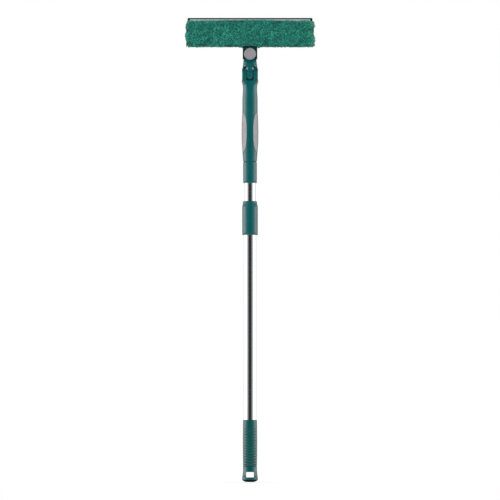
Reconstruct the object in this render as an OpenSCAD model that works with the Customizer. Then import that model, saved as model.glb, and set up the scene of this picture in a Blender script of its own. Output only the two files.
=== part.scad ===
// Telescopic window cleaning squeegee with a washer sleeve and a rubber blade.
// The pole stands along +Z, the head is long along X and the button faces -Y.
// The origin is the lowest point of the hanging end, on the pole's axis.

/* [Hanging end and pole grip] */
// Height of the hanging end below the grip sleeve
end_h = 31; // [28:1:40]
// Diameter of the hanging end's neck, under the grip sleeve
end_d = 28; // [28:0.5:30]
// Diameter of the flared foot
foot_d = 31.5; // [31:0.5:36]
// Height of the dome under the foot
dome_h = 6; // [4:0.5:8]
// Height of the foot's widest ring
foot_h = 9.5; // [8:0.5:10]
// Width of the hanging slot
slot_w = 15.4; // [10:0.2:18]
// Height of the hanging slot
slot_h = 10.6; // [6:0.2:12]
// Height of the hanging slot's lower edge
slot_z = 9.4; // [9:0.2:12]
// Length of the ribbed grip sleeve
grip_len = 93; // [70:1:140]
// Outer diameter of the grip sleeve at its ends
grip_d = 28; // [27.6:0.2:30]
// Extra radius at the middle of the grip sleeve
grip_crown = 0.4; // [0:0.1:1]
// Number of grooves around the grip sleeve
groove_count = 14; // [6:1:14]
// Spacing of those grooves
groove_pitch = 5.5; // [4.5:0.1:5.9]
// Width of each groove
groove_w = 1.1; // [0.6:0.1:1.6]
// Depth of each groove
groove_depth = 0.5; // [0.2:0.1:0.7]
// Length of the hanging end's spigot inside the pole
spigot_len = 24; // [15:1:30]

/* [Pole] */
// Outer diameter of the outer tube
outer_d = 25; // [24.8:0.05:25.2]
// Wall of both tubes
tube_wall = 0.8; // [0.7:0.05:0.9]
// Length of the outer tube
outer_len = 499; // [420:1:700]
// Radial gap between the two tubes
tube_gap = 0.2; // [0.15:0.05:0.3]
// Length of inner tube that shows above the collar
exposed = 36; // [20:1:120]
// Height of the inner tube's lower end above the hanging end's spigot
stow_room = 41; // [38:1:60]
// Length of the glide bush inside the inner tube
bush_len = 14; // [10:1:20]

/* [Twist lock] */
// Length of the locking collar
collar_len = 68; // [60:1:90]
// Outer diameter of the locking collar
collar_d = 31.6; // [30.6:0.2:34]
// Length of the taper at the collar's top
collar_taper = 11; // [6:1:16]
// How far the collar reaches down past the outer tube's end
collar_down = 37; // [34:1:44]
// How far the collet grips the outer tube
collet_hold = 30; // [20:1:32]
// Length of the collet's gripping fingers
finger_len = 17; // [12:1:22]
// Number of slits between the collet's fingers
slit_count = 4; // [3:1:6]
// Width of a slit between two fingers
slit_w = 1.4; // [0.8:0.1:2]

/* [Pole connector] */
// Length of the connector that shows
connector_len = 42; // [36:1:60]
// Outer diameter of the connector
connector_d = 27.8; // [27:0.2:29]
// How far the inner tube goes into the connector
socket_len = 26; // [18:1:30]
// Height of the groove between the connector and the handle
seam_h = 1.2; // [0.8:0.1:2]
// Depth of that groove
seam_depth = 1.1; // [0.5:0.1:1.5]
// Diameter of the connector's screw spigot
spigot_d = 19; // [17:0.5:20]
// Length of that spigot
screw_len = 32; // [20:1:36]
// Pitch of the spigot's screw ridges
screw_pitch = 4; // [3:0.5:6]

/* [Handle] */
// Height of the fold pin above the handle's foot
handle_len = 174; // [168:1:200]
// Diameter at the handle's foot
handle_foot_d = 28.2; // [27:0.2:29]
// Height of the straight band at the handle's foot
foot_band = 3; // [1:0.5:6]
// Diameter at the palm
palm_d = 31.4; // [30:0.2:34]
// Height of the palm above the foot
palm_h = 63; // [55:1:70]
// Diameter where the handle starts to narrow
upper_d = 30.8; // [29:0.2:31]
// Height of that place above the foot
upper_h = 121; // [110:1:128]
// Diameter at the waist
waist_d = 28.4; // [27:0.2:29]
// Distance from the waist up to the fold pin
waist_drop = 27; // [25:0.5:30]
// Wall of the hollow handle
handle_wall = 3.2; // [2.4:0.1:4]
// Height of each grip inset
inset_h = 79; // [60:1:84]
// Height of an inset's middle above the foot
inset_mid = 58; // [52:1:60]
// Distance from the handle's axis to an inset's inner edge
inset_edge = 6.6; // [5:0.2:9]
// Thickness of a grip inset inside the handle's surface
inset_depth = 1.4; // [1:0.1:1.8]
// How far an inset stands proud at its middle
inset_proud = 1.15; // [0.4:0.05:1.4]

/* [Fold joint] */
// Radius of the fold knuckle
knuckle_r = 13; // [12:0.25:13.5]
// Width across the handle's two ears
ears_w = 32; // [29:0.5:32]
// Width of the slot between the ears
ear_slot = 15.8; // [14:0.2:17]
// Width of the knuckle between the washers
knuckle_w = 14; // [12:0.2:14]
// Width of the bevel on the knuckle and the web above it
knuckle_bevel = 2.8; // [1:0.2:3.4]
// Diameter of the fold pin
fold_pin_d = 6; // [5:0.2:7]
// Diameter of the fold pin's head
pin_head_d = 10.4; // [9:0.2:12]
// Depth of the pocket that holds the pin's head
pin_head_h = 2; // [1.6:0.1:2.6]
// Thickness of each friction washer
washer_t = 0.6; // [0.4:0.1:0.7]
// How far the folded web stays above the cradle's edges
fold_room = 1.2; // [0.4:0.1:1.2]
// Width of each notch beside the ribs on the cradle's edges
notch_w = 2.6; // [1:0.2:4]
// Depth of those notches below the cradle's edges
notch_h = 2.4; // [0.4:0.2:2.4]
// Gap between the neck's shoulder and the top of the ears
shoulder_gap = 2.6; // [2.6:0.1:4]

/* [Neck and swivel joint] */
// Distance from the fold pin up to the swivel's axis
neck_len = 40.8; // [40:0.2:48]
// Diameter of the neck
neck_d = 27; // [26:0.2:27.2]
// Width of the shoulder at the neck's foot
shoulder_w = 29.2; // [28:0.2:29.4]
// Depth of the neck, front to back
neck_depth = 24.4; // [22:0.2:26]
// Depth of the skirt that closes the gap over the ears
skirt_depth = 5; // [3:0.5:5]
// Width of the tongue below the shoulder
web_w = 13.6; // [11:0.2:13.6]
// Thickness of the tongue between the bracket's plates
tongue_t = 13; // [12:0.2:14]
// Radius of the tongue's round end
tongue_r = 12; // [11:0.1:12.1]
// Thickness of each of the bracket's plates
plate_t = 3.6; // [3.4:0.1:4.4]
// Width of the bracket
bracket_w = 29.2; // [26:0.2:29.4]
// How far the bracket reaches below the swivel's axis
bracket_down = 9.6; // [9.6:0.2:10.6]
// Diameter of the swivel screw
swivel_d = 5; // [4:0.2:5.4]

/* [Button] */
// Diameter of the button
button_d = 24; // [20:0.5:26]
// Thickness of the button's cap
button_t = 2.5; // [2:0.1:3.2]
// Width of the chamfer around the button
button_chamfer = 1.4; // [0.4:0.1:1.8]
// Travel of the button
button_travel = 2.5; // [1.5:0.1:3]
// Diameter of the plunger behind the button
plunger_d = 16; // [14:0.2:16.6]
// Wire of the plunger's spring
spring_wire = 1; // [0.8:0.1:1.2]
// Turns of the plunger's spring
spring_turns = 3; // [2:1:3]
// Diameter of the cover behind the swivel
cover_d = 19; // [16:0.5:23]
// Thickness of that cover
cover_t = 2.6; // [2:0.1:3.4]

/* [Head] */
// Distance from the swivel's axis up to the sleeve
head_rise = 15; // [14:0.2:16]
// How far the washer sleeve reaches past each end of the blade
sleeve_over = 3; // [1:0.5:10]
// Height of the washer sleeve
sleeve_h = 51.2; // [51:0.2:56]
// Depth of the washer sleeve, front to back
sleeve_depth = 30; // [28:0.5:36]
// Radius of the sleeve's long edges
sleeve_round = 11; // [8:0.5:12]
// Cloth thickness under the head bar
sleeve_floor = 3; // [2.6:0.1:4]
// How much shorter the head bar is than the blade, at each end
bar_inset = 2; // [1.5:0.5:10]
// Height of the head bar
bar_h = 39; // [36:0.5:40]
// Thickness of the head bar
bar_t = 14; // [13.2:0.2:15]
// Wall of the hollow head bar
bar_wall = 2; // [1.6:0.1:2.6]
// Width of the bracket's flange
flange_w = 50; // [44:1:60]
// Thickness of the bracket's flange
flange_t = 4; // [3.4:0.1:4.6]
// Distance between the two bracket screws
screw_span = 37; // [34:1:40]
// Diameter of a bracket screw
screw_d = 3.5; // [3:0.1:4]
// Length of a bracket screw
screw_l = 13; // [10:0.5:14]

/* [Blade] */
// Length of the rubber blade
blade_len = 250; // [200:1:450]
// Height of rubber that shows above its channel
lip_h = 2.8; // [1:0.1:8]
// Thickness of the rubber lip
lip_t = 2; // [1.6:0.1:2.4]
// Diameter of the rubber's bead
bead_d = 4.2; // [3.6:0.1:4.4]
// Height of the aluminium channel
channel_h = 14.6; // [13:0.2:18]
// Thickness of the aluminium channel
channel_t = 6.4; // [6:0.1:7]
// How far the channel sits in the head bar
channel_seat = 1.8; // [1:0.1:2]
// Length of each end clip
clip_len = 4.6; // [3:0.1:8]

/* [Hook tapes] */
// Distance from each end of the head bar to the hook tapes
tape_inset = 23; // [5:1:40]
// Width of each hook tape
tape_w = 16; // [10:1:20]
// Thickness of each hook tape
tape_t = 0.8; // [0.6:0.1:1]

/* [Fits] */
// Radial clearance of a running fit
fit = 0.1; // [0.05:0.01:0.1]
// Clearance between a loose pair
loose = 0.3; // [0.2:0.05:0.4]

/* [Hidden] */
$fn = 96;
far = 400;  // longer than any piece that a cut passes through

// Radii of the tubes
outer_r = outer_d / 2;
outer_bore_r = outer_r - tube_wall;
inner_r = outer_bore_r - tube_gap;
inner_bore_r = inner_r - tube_wall;

// Heights up the pole, each from the one below it
grip_z = end_h;
tube_top = grip_z + outer_len;
spigot_top = grip_z + spigot_len;
inner_z = spigot_top + stow_room;
collar_z = tube_top - collar_down;
collar_top = collar_z + collar_len;
connector_z = collar_top + exposed;
handle_z = connector_z + connector_len + seam_h;
fold_z = handle_z + handle_len;
swivel_z = fold_z + neck_len;

// Twist lock
collet_r = outer_r + 1.1;
finger_r = inner_r + fit;
collet_top = tube_top + 5 + finger_len;
collar_chamber_r = collet_r + loose;

// Connector and the handle's foot
connector_r = connector_d / 2;
seam_r = connector_r - seam_depth;
spigot_r = spigot_d / 2;
insert_r = spigot_r + loose;
insert_wall = 1.4;
insert_len = screw_len + 2;

// Handle
palm_r = palm_d / 2;
waist_r = waist_d / 2;
waist_z = handle_len - waist_drop;
cavity_r = handle_foot_d / 2 - handle_wall;
cavity_len = waist_z - 12;
ear_t = (ears_w - ear_slot) / 2;
ear_corner_r = norm([ears_w / 2, knuckle_r]) - 1.2;
bulge_w = ears_w + 1.2;
bulge_z = handle_len - 15;
flare_z = waist_z - 2;
flare_end = handle_len - 9.7;
flare = ear_corner_r - waist_r;
face_z = waist_z - 24;  // where the flat front and back faces run out
inset_sag = palm_r - inset_edge;

// Fold joint
pin_r = fold_pin_d / 2;
washer_r = knuckle_r - 0.6;
rib_half = 0.9;
web_half = (neck_depth - 4) / 2;
cradle_z = fold_z - web_half - fold_room;  // level edges of the cradle under the knuckle
shoulder_z = fold_z + knuckle_r + shoulder_gap;
skirt_z = fold_z + knuckle_r + loose;

// Swivel: the corner of the bracket sweeps this radius
gap_half = tongue_t / 2 + loose;
bracket_half = gap_half + plate_t;
sweep_r = norm([bracket_w / 2, bracket_down]);
saddle_r = sweep_r + loose;
plunger_r = plunger_d / 2;
cap_gap = button_travel + loose;
cap_back = bracket_half + cap_gap;
socket_floor = tongue_t / 2 - 3.2;
plunger_end = socket_floor - button_travel - (spring_turns + 1) * spring_wire;
screw_head_r = 4.2;
screw_head_h = 1.5;
counter_depth = cap_gap + screw_head_h;
swivel_r = swivel_d / 2;
nut_af = 8;
nut_t = 2.7;

// Head: lengths from the blade's, and each height from the one below it
sleeve_w = blade_len + 2 * sleeve_over;
bar_len = blade_len - 2 * bar_inset;
tape_len = bar_len - 2 * tape_inset;
sleeve_z = swivel_z + head_rise;
bar_z = sleeve_z + sleeve_floor + loose;
bar_top = bar_z + bar_h;
flange_top = bar_z + flange_t;
arch_z = swivel_z + tongue_r + 0.6;
channel_z = bar_top - channel_seat;
channel_top = channel_z + channel_h;
channel_len = blade_len - 2 * clip_len - 2 * loose;
bead_z = channel_z + 5;
blade_top = channel_top + lip_h;
bar_round = 4;
boss_len = screw_l - 2;
cloth_gap = tape_t + loose;
hole_w = bracket_w + 2 * loose;

// ---- Helpers ----

// A tube standing on z, from the inner to the outer radius
module ring(z, h, r_out, r_in) {
    translate([0, 0, z]) difference() {
        cylinder(h = h, r = r_out);
        translate([0, 0, -1]) cylinder(h = h + 2, r = r_in);
    }
}

// A cylinder along X, centred on x
module rod_x(x, length, r, z) {
    translate([x, 0, z]) rotate([0, 90, 0]) cylinder(h = length, r = r, center = true);
}

// A cylinder along Y, from y up by length, at the height of the swivel
module rod_y(y, length, r) {
    translate([0, y, swivel_z]) rotate([-90, 0, 0]) cylinder(h = length, r = r);
}

// A block centred on x and y, standing on z
module block(w, d, h, z) {
    translate([-w / 2, -d / 2, z]) cube([w, d, h]);
}

// A flat outline in X and Z, pushed through the part along Y
module through_y(depth) {
    translate([0, depth / 2, 0]) rotate([90, 0, 0]) linear_extrude(depth) children();
}

// A flat outline in Y and Z, pushed through the part along X
module through_x(width) {
    translate([-width / 2, 0, 0]) rotate([90, 0, 90]) linear_extrude(width) children();
}

// A rectangle with round corners, centred on x and standing on z
module round_plate(w, h, r, z) {
    translate([0, z + h / 2]) {
        square([w - 2 * r, h], center = true);
        square([w, h - 2 * r], center = true);
        for (x = [-1, 1], y = [-1, 1])
            translate([x * (w / 2 - r), y * (h / 2 - r)]) circle(r = r);
    }
}

// ---- Pole ----

// A quarter wave from 0 to 1, level at both ends
function ease(t) = (1 - cos(180 * t)) / 2;

// Radius of the grip sleeve, crowned in the middle
function grip_r(z) = grip_d / 2 + grip_crown * sin(180 * z / grip_len);

// One groove of the grip sleeve, as points up its outer face
function groove(z) = [
    [grip_r(z), z],
    [grip_r(z) - groove_depth, z + groove_w * 0.25],
    [grip_r(z) - groove_depth, z + groove_w * 0.75],
    [grip_r(z + groove_w), z + groove_w]
];

module hanging_end() {
    color("#06605a") difference() {
        union() {
            rotate_extrude() polygon(concat(
                [for (a = [0 : 10 : 80]) [(foot_d / 2 - 1) * sin(a), dome_h * (1 - cos(a))]],
                [
                    [foot_d / 2, foot_h - 1], [foot_d / 2, foot_h],
                    [foot_d / 2 - 0.4, foot_h + 2.5],
                    [end_d / 2 + 0.5, slot_z + slot_h - 1.5], [end_d / 2, slot_z + slot_h + 3],
                    [end_d / 2, grip_z], [0, grip_z]
                ]
            ));
            translate([0, 0, grip_z]) cylinder(h = spigot_len, r = outer_bore_r - fit);
        }
        block(slot_w, far, slot_h, slot_z);
        translate([0, 0, grip_z - 4]) cylinder(h = far, r = outer_bore_r - 3);
    }
}

module grip_sleeve() {
    color("#075d58") translate([0, 0, grip_z]) rotate_extrude() polygon(concat(
        [[outer_r + fit, 0], [grip_r(0) - 0.3, 0]],
        [for (i = [0 : groove_count - 1], p = groove(2.5 + i * groove_pitch)) p],
        [[grip_r(grip_len), grip_len - 1], [grip_r(grip_len) - 0.8, grip_len]],
        [[outer_r + fit, grip_len]]
    ));
}

module outer_tube() {
    color("#d9dbdc") ring(grip_z, outer_len, outer_r, outer_bore_r);
}

module inner_tube() {
    tube_z = inner_z + 4;
    color("#e2e4e5") ring(tube_z, connector_z + socket_len - tube_z, inner_r, inner_bore_r);
}

module glide_bush() {
    color("#dadad4") difference() {
        union() {
            translate([0, 0, inner_z]) cylinder(h = 4, r = outer_bore_r - fit);
            translate([0, 0, inner_z]) cylinder(h = 4 + bush_len, r = inner_bore_r - 0.05);
        }
        translate([0, 0, inner_z - 1]) cylinder(h = far, r = inner_bore_r - 2.4);
    }
}

// ---- Twist lock ----

// A split sleeve on the outer tube's end, with fingers around the inner tube
module collet() {
    hold_z = tube_top - collet_hold;
    finger_z = tube_top + 5;
    color("#26302f") difference() {
        union() {
            translate([0, 0, hold_z]) cylinder(h = finger_z - hold_z, r = collet_r);
            translate([0, 0, finger_z]) cylinder(h = finger_len, r1 = collet_r, r2 = collet_r - 1);
        }
        translate([0, 0, hold_z - 1]) cylinder(h = collet_hold + 1, r = outer_r + 0.05);
        translate([0, 0, hold_z]) cylinder(h = far, r = finger_r);
        for (i = [0 : slit_count - 1]) rotate(i * 360 / slit_count)
            translate([0, -slit_w / 2, finger_z]) cube([outer_d, slit_w, finger_len + 1]);
    }
}

module lock_collar() {
    top_r = inner_r + loose;
    color("#066059") difference() {
        translate([0, 0, collar_z]) rotate_extrude() polygon([
            [0, 0], [collar_d / 2 - 1.4, 0], [collar_d / 2 - 0.4, 0.5], [collar_d / 2, 1.6],
            [collar_d / 2, collar_len - collar_taper],
            [collar_d / 2 - 0.35, collar_len - collar_taper * 0.7],
            [collar_d / 2 - 1.5, collar_len - 0.8], [collar_d / 2 - 2.2, collar_len],
            [0, collar_len]
        ]);
        translate([0, 0, collar_z - 1]) cylinder(h = far, r = top_r);
        translate([0, 0, collar_z - 1]) cylinder(h = 7, r = outer_r + loose);
        translate([0, 0, collar_z + 5]) cylinder(h = collet_top + 1 - collar_z - 5, r = collar_chamber_r);
    }
}

// ---- Pole connector and handle ----

// A socket on the inner tube, with the screw that holds the handle
module pole_connector() {
    body_top = connector_z + connector_len;
    color("#06605a") difference() {
        union() {
            translate([0, 0, connector_z]) rotate_extrude() polygon([
                [0, 0], [connector_r - 0.8, 0], [connector_r, 0.8], [connector_r, 2.6],
                [connector_r - 0.4, 3.2], [connector_r, 3.8],
                [connector_r, connector_len - 0.5], [connector_r - 0.5, connector_len],
                [0, connector_len]
            ]);
            translate([0, 0, body_top]) cylinder(h = seam_h, r = seam_r);
            translate([0, 0, body_top]) cylinder(h = seam_h + screw_len, r = spigot_r - 1);
            for (z = [seam_h + 3 : screw_pitch : screw_len - screw_pitch / 2])
                translate([0, 0, body_top + z]) rotate_extrude() polygon([
                    [0, -1.4], [spigot_r - 1, -1.4], [spigot_r, -0.4],
                    [spigot_r, 0.4], [spigot_r - 1, 1.4], [0, 1.4]
                ]);
        }
        translate([0, 0, connector_z - 1]) cylinder(h = socket_len + 1, r = inner_r + 0.05);
        translate([0, 0, connector_z]) cylinder(h = far, r = spigot_r - 4);
    }
}

// A hard bush in the handle's foot that the connector screws into
module thread_insert() {
    color("#2b3433") ring(handle_z, insert_len, insert_r + insert_wall, insert_r);
}

// Share of the way from the foot's straight band up to the palm
function palm_rise(z) = max(0, z - foot_band) / (palm_h - foot_band);

// Radius of the handle at a height above its foot, up to the flare over the waist
function handle_r(z) =
    z < palm_h
        ? handle_foot_d / 2 + (palm_r - handle_foot_d / 2) * (1 - pow(1 - palm_rise(z), 3))
    : z < upper_h
        ? palm_r + (upper_d / 2 - palm_r) * ease((z - palm_h) / (upper_h - palm_h))
    : upper_d / 2 + (waist_r - upper_d / 2) * ease(min(1, (z - upper_h) / (waist_z - upper_h)))
        + flare * pow(max(0, min(1, (z - flare_z) / (flare_end - flare_z))), 2.5);

// Extra radius of an inset's face, from nothing at its ends to full at its middle
function inset_bulge(z) =
    inset_proud * max(0, 1 - pow((z - inset_mid) / (inset_h / 2 + 3), 2));

// A round body that follows the handle between two heights, moved out by grow
module handle_body(z0, z1, steps = 24, grow = 0, bulge = 0) {
    step = (z1 - z0) / steps;
    translate([0, 0, handle_z]) rotate_extrude() polygon(concat(
        [[0, z0]],
        [for (i = [0 : steps]) let (z = z0 + i * step) [handle_r(z) + grow + bulge * inset_bulge(z), z]],
        [[0, z1]]
    ));
}

// A cosine or sine drawn out towards 1, which squares an ellipse a little
function squared(v) = sign(v) * pow(abs(v), 0.8);

// The lens shape of one inset, seen from the front: side is -1 or 1
module inset_lens(side, grow = 0) {
    steps = 72;
    through_y(far) translate([side * palm_r, handle_z + inset_mid]) polygon([
        for (i = [0 : steps - 1]) let (a = 360 * i / steps)
            [squared(cos(a)) * (inset_sag + grow), squared(sin(a)) * (inset_h / 2 + grow)]
    ]);
}

module grip_inset(side) {
    color("#a7a5a8") intersection() {
        difference() {
            handle_body(inset_mid - inset_h / 2 - 2, inset_mid + inset_h / 2 + 2, bulge = 1);
            handle_body(inset_mid - inset_h / 2 - 3, inset_mid + inset_h / 2 + 3, grow = -inset_depth);
        }
        inset_lens(side);
    }
}

module grip_inset_left() { grip_inset(-1); }
module grip_inset_right() { grip_inset(1); }

// The ring of material that the two insets take out of the handle
module inset_pockets() {
    for (side = [-1, 1]) intersection() {
        difference() {
            handle_body(inset_mid - inset_h / 2 - 4, inset_mid + inset_h / 2 + 4, grow = 3);
            handle_body(inset_mid - inset_h / 2 - 5, inset_mid + inset_h / 2 + 5, grow = -inset_depth - 0.05);
        }
        inset_lens(side, 0.05);
    }
}

// Front outline of the handle: a wide foot, a bulge under the fold joint, then the ears
module handle_front() {
    half = ears_w / 2;
    translate([0, handle_z]) polygon([
        [-far, -1], [far, -1], [far, waist_z - 2], [bulge_w / 2, waist_z - 1],
        [bulge_w / 2, bulge_z + 1.5], [half, bulge_z + 5], [half, far],
        [-half, far], [-half, bulge_z + 5], [-bulge_w / 2, bulge_z + 1.5],
        [-bulge_w / 2, waist_z - 1], [-far, waist_z - 2]
    ]);
}

// Side outline of the handle: a round foot, faces that run in to flat flanks, round ears
module handle_side() {
    translate([0, fold_z]) circle(r = knuckle_r);
    translate([0, handle_z]) polygon([
        [-far, -1], [far, -1], [far, face_z - 1], [upper_d / 2 + 0.3, face_z],
        [knuckle_r, waist_z], [knuckle_r, handle_len], [-knuckle_r, handle_len],
        [-knuckle_r, waist_z], [-upper_d / 2 - 0.3, face_z], [-far, face_z - 1]
    ]);
}

module handle_shell() {
    color("#06605a") difference() {
        intersection() {
            handle_body(0, handle_len + knuckle_r + 1, 64);
            through_y(far) handle_front();
            through_x(far) handle_side();
        }
        inset_pockets();
        translate([0, 0, handle_z - 1]) cylinder(h = insert_len + 1, r = insert_r + insert_wall + 0.05);
        translate([0, 0, handle_z]) cylinder(h = cavity_len, r = cavity_r);
        cradle();
        drain_notches();
        rod_x(0, far, pin_r + 0.02, fold_z);
        for (side = [-1, 1])
            rod_x(side * ears_w / 2, 2 * pin_head_h, pin_head_d / 2 + 0.1, fold_z);
    }
    color("#06605a") stop_ribs();
}

// The slot between the ears, with a cradle around the knuckle for a floor
module cradle() {
    rod_x(0, ear_slot, knuckle_r + loose, fold_z);
    translate([-ear_slot / 2, -far / 2, cradle_z]) cube([ear_slot, far, far]);
}

// Small ribs on the cradle's edges that stop the folded web, at the front and the back
module stop_ribs() {
    rise = fold_room - loose;
    for (side = [-1, 1]) translate([-rib_half, side * (knuckle_r - 1.9) - 1.7, cradle_z - 0.2])
        cube([2 * rib_half, 3.4, rise + 0.2]);
}

// Notches on both sides of each rib, open to the front and the back
module drain_notches() {
    for (x = [-rib_half - notch_w, rib_half], y = [-far - 4, 4])
        translate([x, y, cradle_z - notch_h]) cube([notch_w, far, notch_h + 1]);
}

// ---- Fold joint ----

module fold_pin() {
    color("#b9bcbd") {
        rod_x(0, ears_w - 2 * pin_head_h, pin_r, fold_z);
        rod_x(-(ears_w - pin_head_h) / 2 + 0.1, pin_head_h - 0.2, pin_head_d / 2, fold_z);
        rod_x((ears_w - 2 * pin_head_h) / 2, pin_head_h, pin_r - 0.4, fold_z);
    }
}

// A round nut pressed on the pin's end, in the right ear
module fold_nut() {
    color("#aeb2b3") difference() {
        rod_x((ears_w - pin_head_h) / 2 + 0.1, pin_head_h - 0.2, pin_head_d / 2, fold_z);
        rod_x(ears_w / 2, ears_w, pin_r - 0.35, fold_z);
    }
}

module fold_washers() {
    mid = (knuckle_w + ear_slot) / 4;
    color("#26302f") for (side = [-1, 1]) difference() {
        rod_x(side * mid, washer_t, washer_r, fold_z);
        rod_x(side * mid, washer_t + 1, pin_r + 0.2, fold_z);
    }
}

// Outline of the tongue that carries the swivel, seen from the front
module tongue_front() {
    translate([0, swivel_z]) circle(r = tongue_r);
    low = shoulder_z + 4;
    half = neck_d / 2;
    polygon([
        [-tongue_r, swivel_z - 2], [tongue_r, swivel_z - 2],
        [half - 0.4, swivel_z - 14], [half, low], [-half, low], [-half + 0.4, swivel_z - 14]
    ]);
}

// The knuckle between the ears: a disc about the fold pin with beveled rims
module knuckle() {
    rim = knuckle_w / 2;
    flat = rim - knuckle_bevel;
    translate([0, 0, fold_z]) rotate([0, 90, 0]) rotate_extrude() polygon([
        [0, -rim], [knuckle_r - knuckle_bevel, -rim], [knuckle_r, -flat],
        [knuckle_r, flat], [knuckle_r - knuckle_bevel, rim], [0, rim]
    ]);
}

// The web from the knuckle up into the neck, with the knuckle's bevels on its four edges
module web(depth) {
    x = web_w / 2;
    y = depth / 2;
    b = knuckle_bevel;
    translate([0, 0, fold_z]) linear_extrude(shoulder_z + 3 - fold_z) polygon([
        [-x, -y + b], [-x + b, -y], [x - b, -y], [x, -y + b],
        [x, y - b], [x - b, y], [-x + b, y], [-x, y - b]
    ]);
}

// The round body of the neck, from its wider shoulder up past the swivel's lower edge
module neck_body() {
    half = neck_d / 2;
    wide = shoulder_w / 2;
    translate([0, 0, shoulder_z]) rotate_extrude() polygon([
        [0, 0], [wide, 0], [wide, 2.5], [half + 0.4, 6.5], [half, 9], [half, neck_len], [0, neck_len]
    ]);
}

module neck() {
    color("#075e58") difference() {
        union() {
            intersection() {
                difference() {
                    neck_body();
                    rod_y(-far / 2, far, saddle_r);
                }
                block(far, neck_depth, swivel_z - bracket_w / 2 - shoulder_z, shoulder_z);
            }
            intersection() {
                through_y(tongue_t) tongue_front();
                block(far, far, far, shoulder_z);
            }
            knuckle();
            web(2 * web_half);
            intersection() {
                translate([0, 0, skirt_z]) cylinder(h = shoulder_z + 1 - skirt_z, r = shoulder_w / 2);
                block(far, skirt_depth, far, skirt_z);
            }
        }
        rod_x(0, far, pin_r + fit, fold_z);
        rod_y(-far / 2, far / 2 + socket_floor, plunger_r + loose);
        rod_y(-far / 2, far, swivel_r + fit);
    }
}

// ---- Swivel ----

// Two plates around the tongue, joined by an arch and a flange under the head bar
module head_bracket() {
    depth = 2 * bracket_half;
    color("#0b2b28") difference() {
        union() {
            block(bracket_w, depth, bar_z - loose - (swivel_z - bracket_down), swivel_z - bracket_down);
            block(bracket_w, bar_t - 2, flange_top - arch_z, arch_z);
            intersection() {
                block(flange_w, bar_t, flange_t, bar_z);
                bar_section(flange_w);
            }
        }
        block(far, 2 * gap_half, far, arch_z - far);
        rod_y(-far / 2, far / 2, plunger_r + fit);
        rod_y(-far / 2, far, swivel_r + 0.02);
        rod_y(bracket_half - nut_t - 0.2, far, nut_af / 2 / cos(30) + 0.1);
        for (side = [-1, 1]) translate([side * screw_span / 2, 0, bar_z - 1]) {
            cylinder(h = far, r = screw_d / 2 + 0.05);
            cylinder(h = 3, r = screw_d + 0.05);
        }
    }
}

module swivel_screw() {
    head_y = -cap_back + counter_depth - screw_head_h;
    color("#b9bcbd") {
        rod_y(head_y, screw_head_h, screw_head_r);
        rod_y(head_y, bracket_half - 0.1 - head_y, swivel_r);
    }
}

// A thin nut in the rear plate
module swivel_nut() {
    color("#aeb2b3") difference() {
        translate([0, bracket_half - nut_t - 0.1, swivel_z]) rotate([-90, 0, 0])
            cylinder(h = nut_t, r = nut_af / 2 / cos(30), $fn = 6);
        rod_y(0, far, swivel_r + 0.02);
    }
}

module rear_cover() {
    color("#0d322e") translate([0, bracket_half, swivel_z]) rotate([-90, 0, 0])
        rotate_extrude() polygon([
            [0, 0], [cover_d / 2, 0], [cover_d / 2, cover_t * 0.4],
            [cover_d / 2 - 0.4, cover_t * 0.75], [cover_d / 2 - 1.3, cover_t], [0, cover_t]
        ]);
}

// A plain plunger: it slides in the front plate and ends in the tongue's socket
module lock_plunger() {
    color("#34403e") difference() {
        rod_y(-cap_back, cap_back + plunger_end, plunger_r);
        rod_y(-cap_back - 1, counter_depth + 1, screw_head_r + loose);
        rod_y(-far / 2, far, swivel_r + fit);
    }
}

module button_cap() {
    color("#9a989b") translate([0, -cap_back, swivel_z]) rotate([90, 0, 0])
        rotate_extrude() polygon([
            [0, 0], [button_d / 2, 0], [button_d / 2, button_t - button_chamfer],
            [button_d / 2 - button_chamfer, button_t], [0, button_t - 0.2]
        ]);
}

// A helical spring around the swivel screw, swept as one closed skin
module plunger_spring() {
    mean_r = (swivel_r + fit + plunger_r) / 2;
    rise = socket_floor - plunger_end - spring_wire;
    sides = 8;
    rings = spring_turns * 20;
    skin = [for (i = [0 : rings], k = [0 : sides - 1])
        let (a = i * 360 * spring_turns / rings, w = k * 360 / sides,
             r = mean_r + spring_wire / 2 * cos(w))
        [r * cos(a), r * sin(a), i * rise / rings + spring_wire / 2 * sin(w)]];
    walls = [for (i = [0 : rings - 1], k = [0 : sides - 1])
        let (a = i * sides + k, b = i * sides + (k + 1) % sides)
        [a, a + sides, b + sides, b]];
    ends = [[for (k = [0 : sides - 1]) k], [for (k = [sides - 1 : -1 : 0]) rings * sides + k]];
    color("#c4c7c8") translate([0, plunger_end + spring_wire / 2, swivel_z]) rotate([-90, 0, 0])
        polyhedron(points = skin, faces = concat(walls, ends));
}

// ---- Head ----

// The bar's closed outer shape over a given length
module bar_section(length) {
    through_x(length) round_plate(bar_t, bar_h, bar_round, bar_z);
}

// A hollow bar: the flange lies in its underside and the channel in its top
module head_bar() {
    inner_h = bar_h - 2 * bar_wall - channel_seat;
    color("#0a4f49") difference() {
        bar_section(bar_len);
        difference() {
            through_x(far) round_plate(bar_t - 2 * bar_wall, inner_h, bar_round - bar_wall, bar_z + bar_wall);
            block(flange_w + 8, bar_t, flange_t + boss_len + 2, bar_z);
        }
        block(flange_w + 0.2, bar_t + 2, flange_t + 1, bar_z - 1);
        block(far, channel_t + 0.1, far, channel_z);
        for (side = [-1, 1]) translate([side * screw_span / 2, 0, bar_z])
            cylinder(h = flange_t + boss_len, r = screw_d / 2 + 0.05);
    }
}

// Plugs that close the bar's two ends
module bar_plugs() {
    inner_h = bar_h - 2 * bar_wall - channel_seat;
    color("#0a3f3a") for (side = [-1, 1]) translate([side * (bar_len / 2 - 4), 0, 0])
        through_x(8) round_plate(
            bar_t - 2 * bar_wall - 0.1, inner_h - 0.1, bar_round - bar_wall, bar_z + bar_wall + 0.05
        );
}

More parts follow.
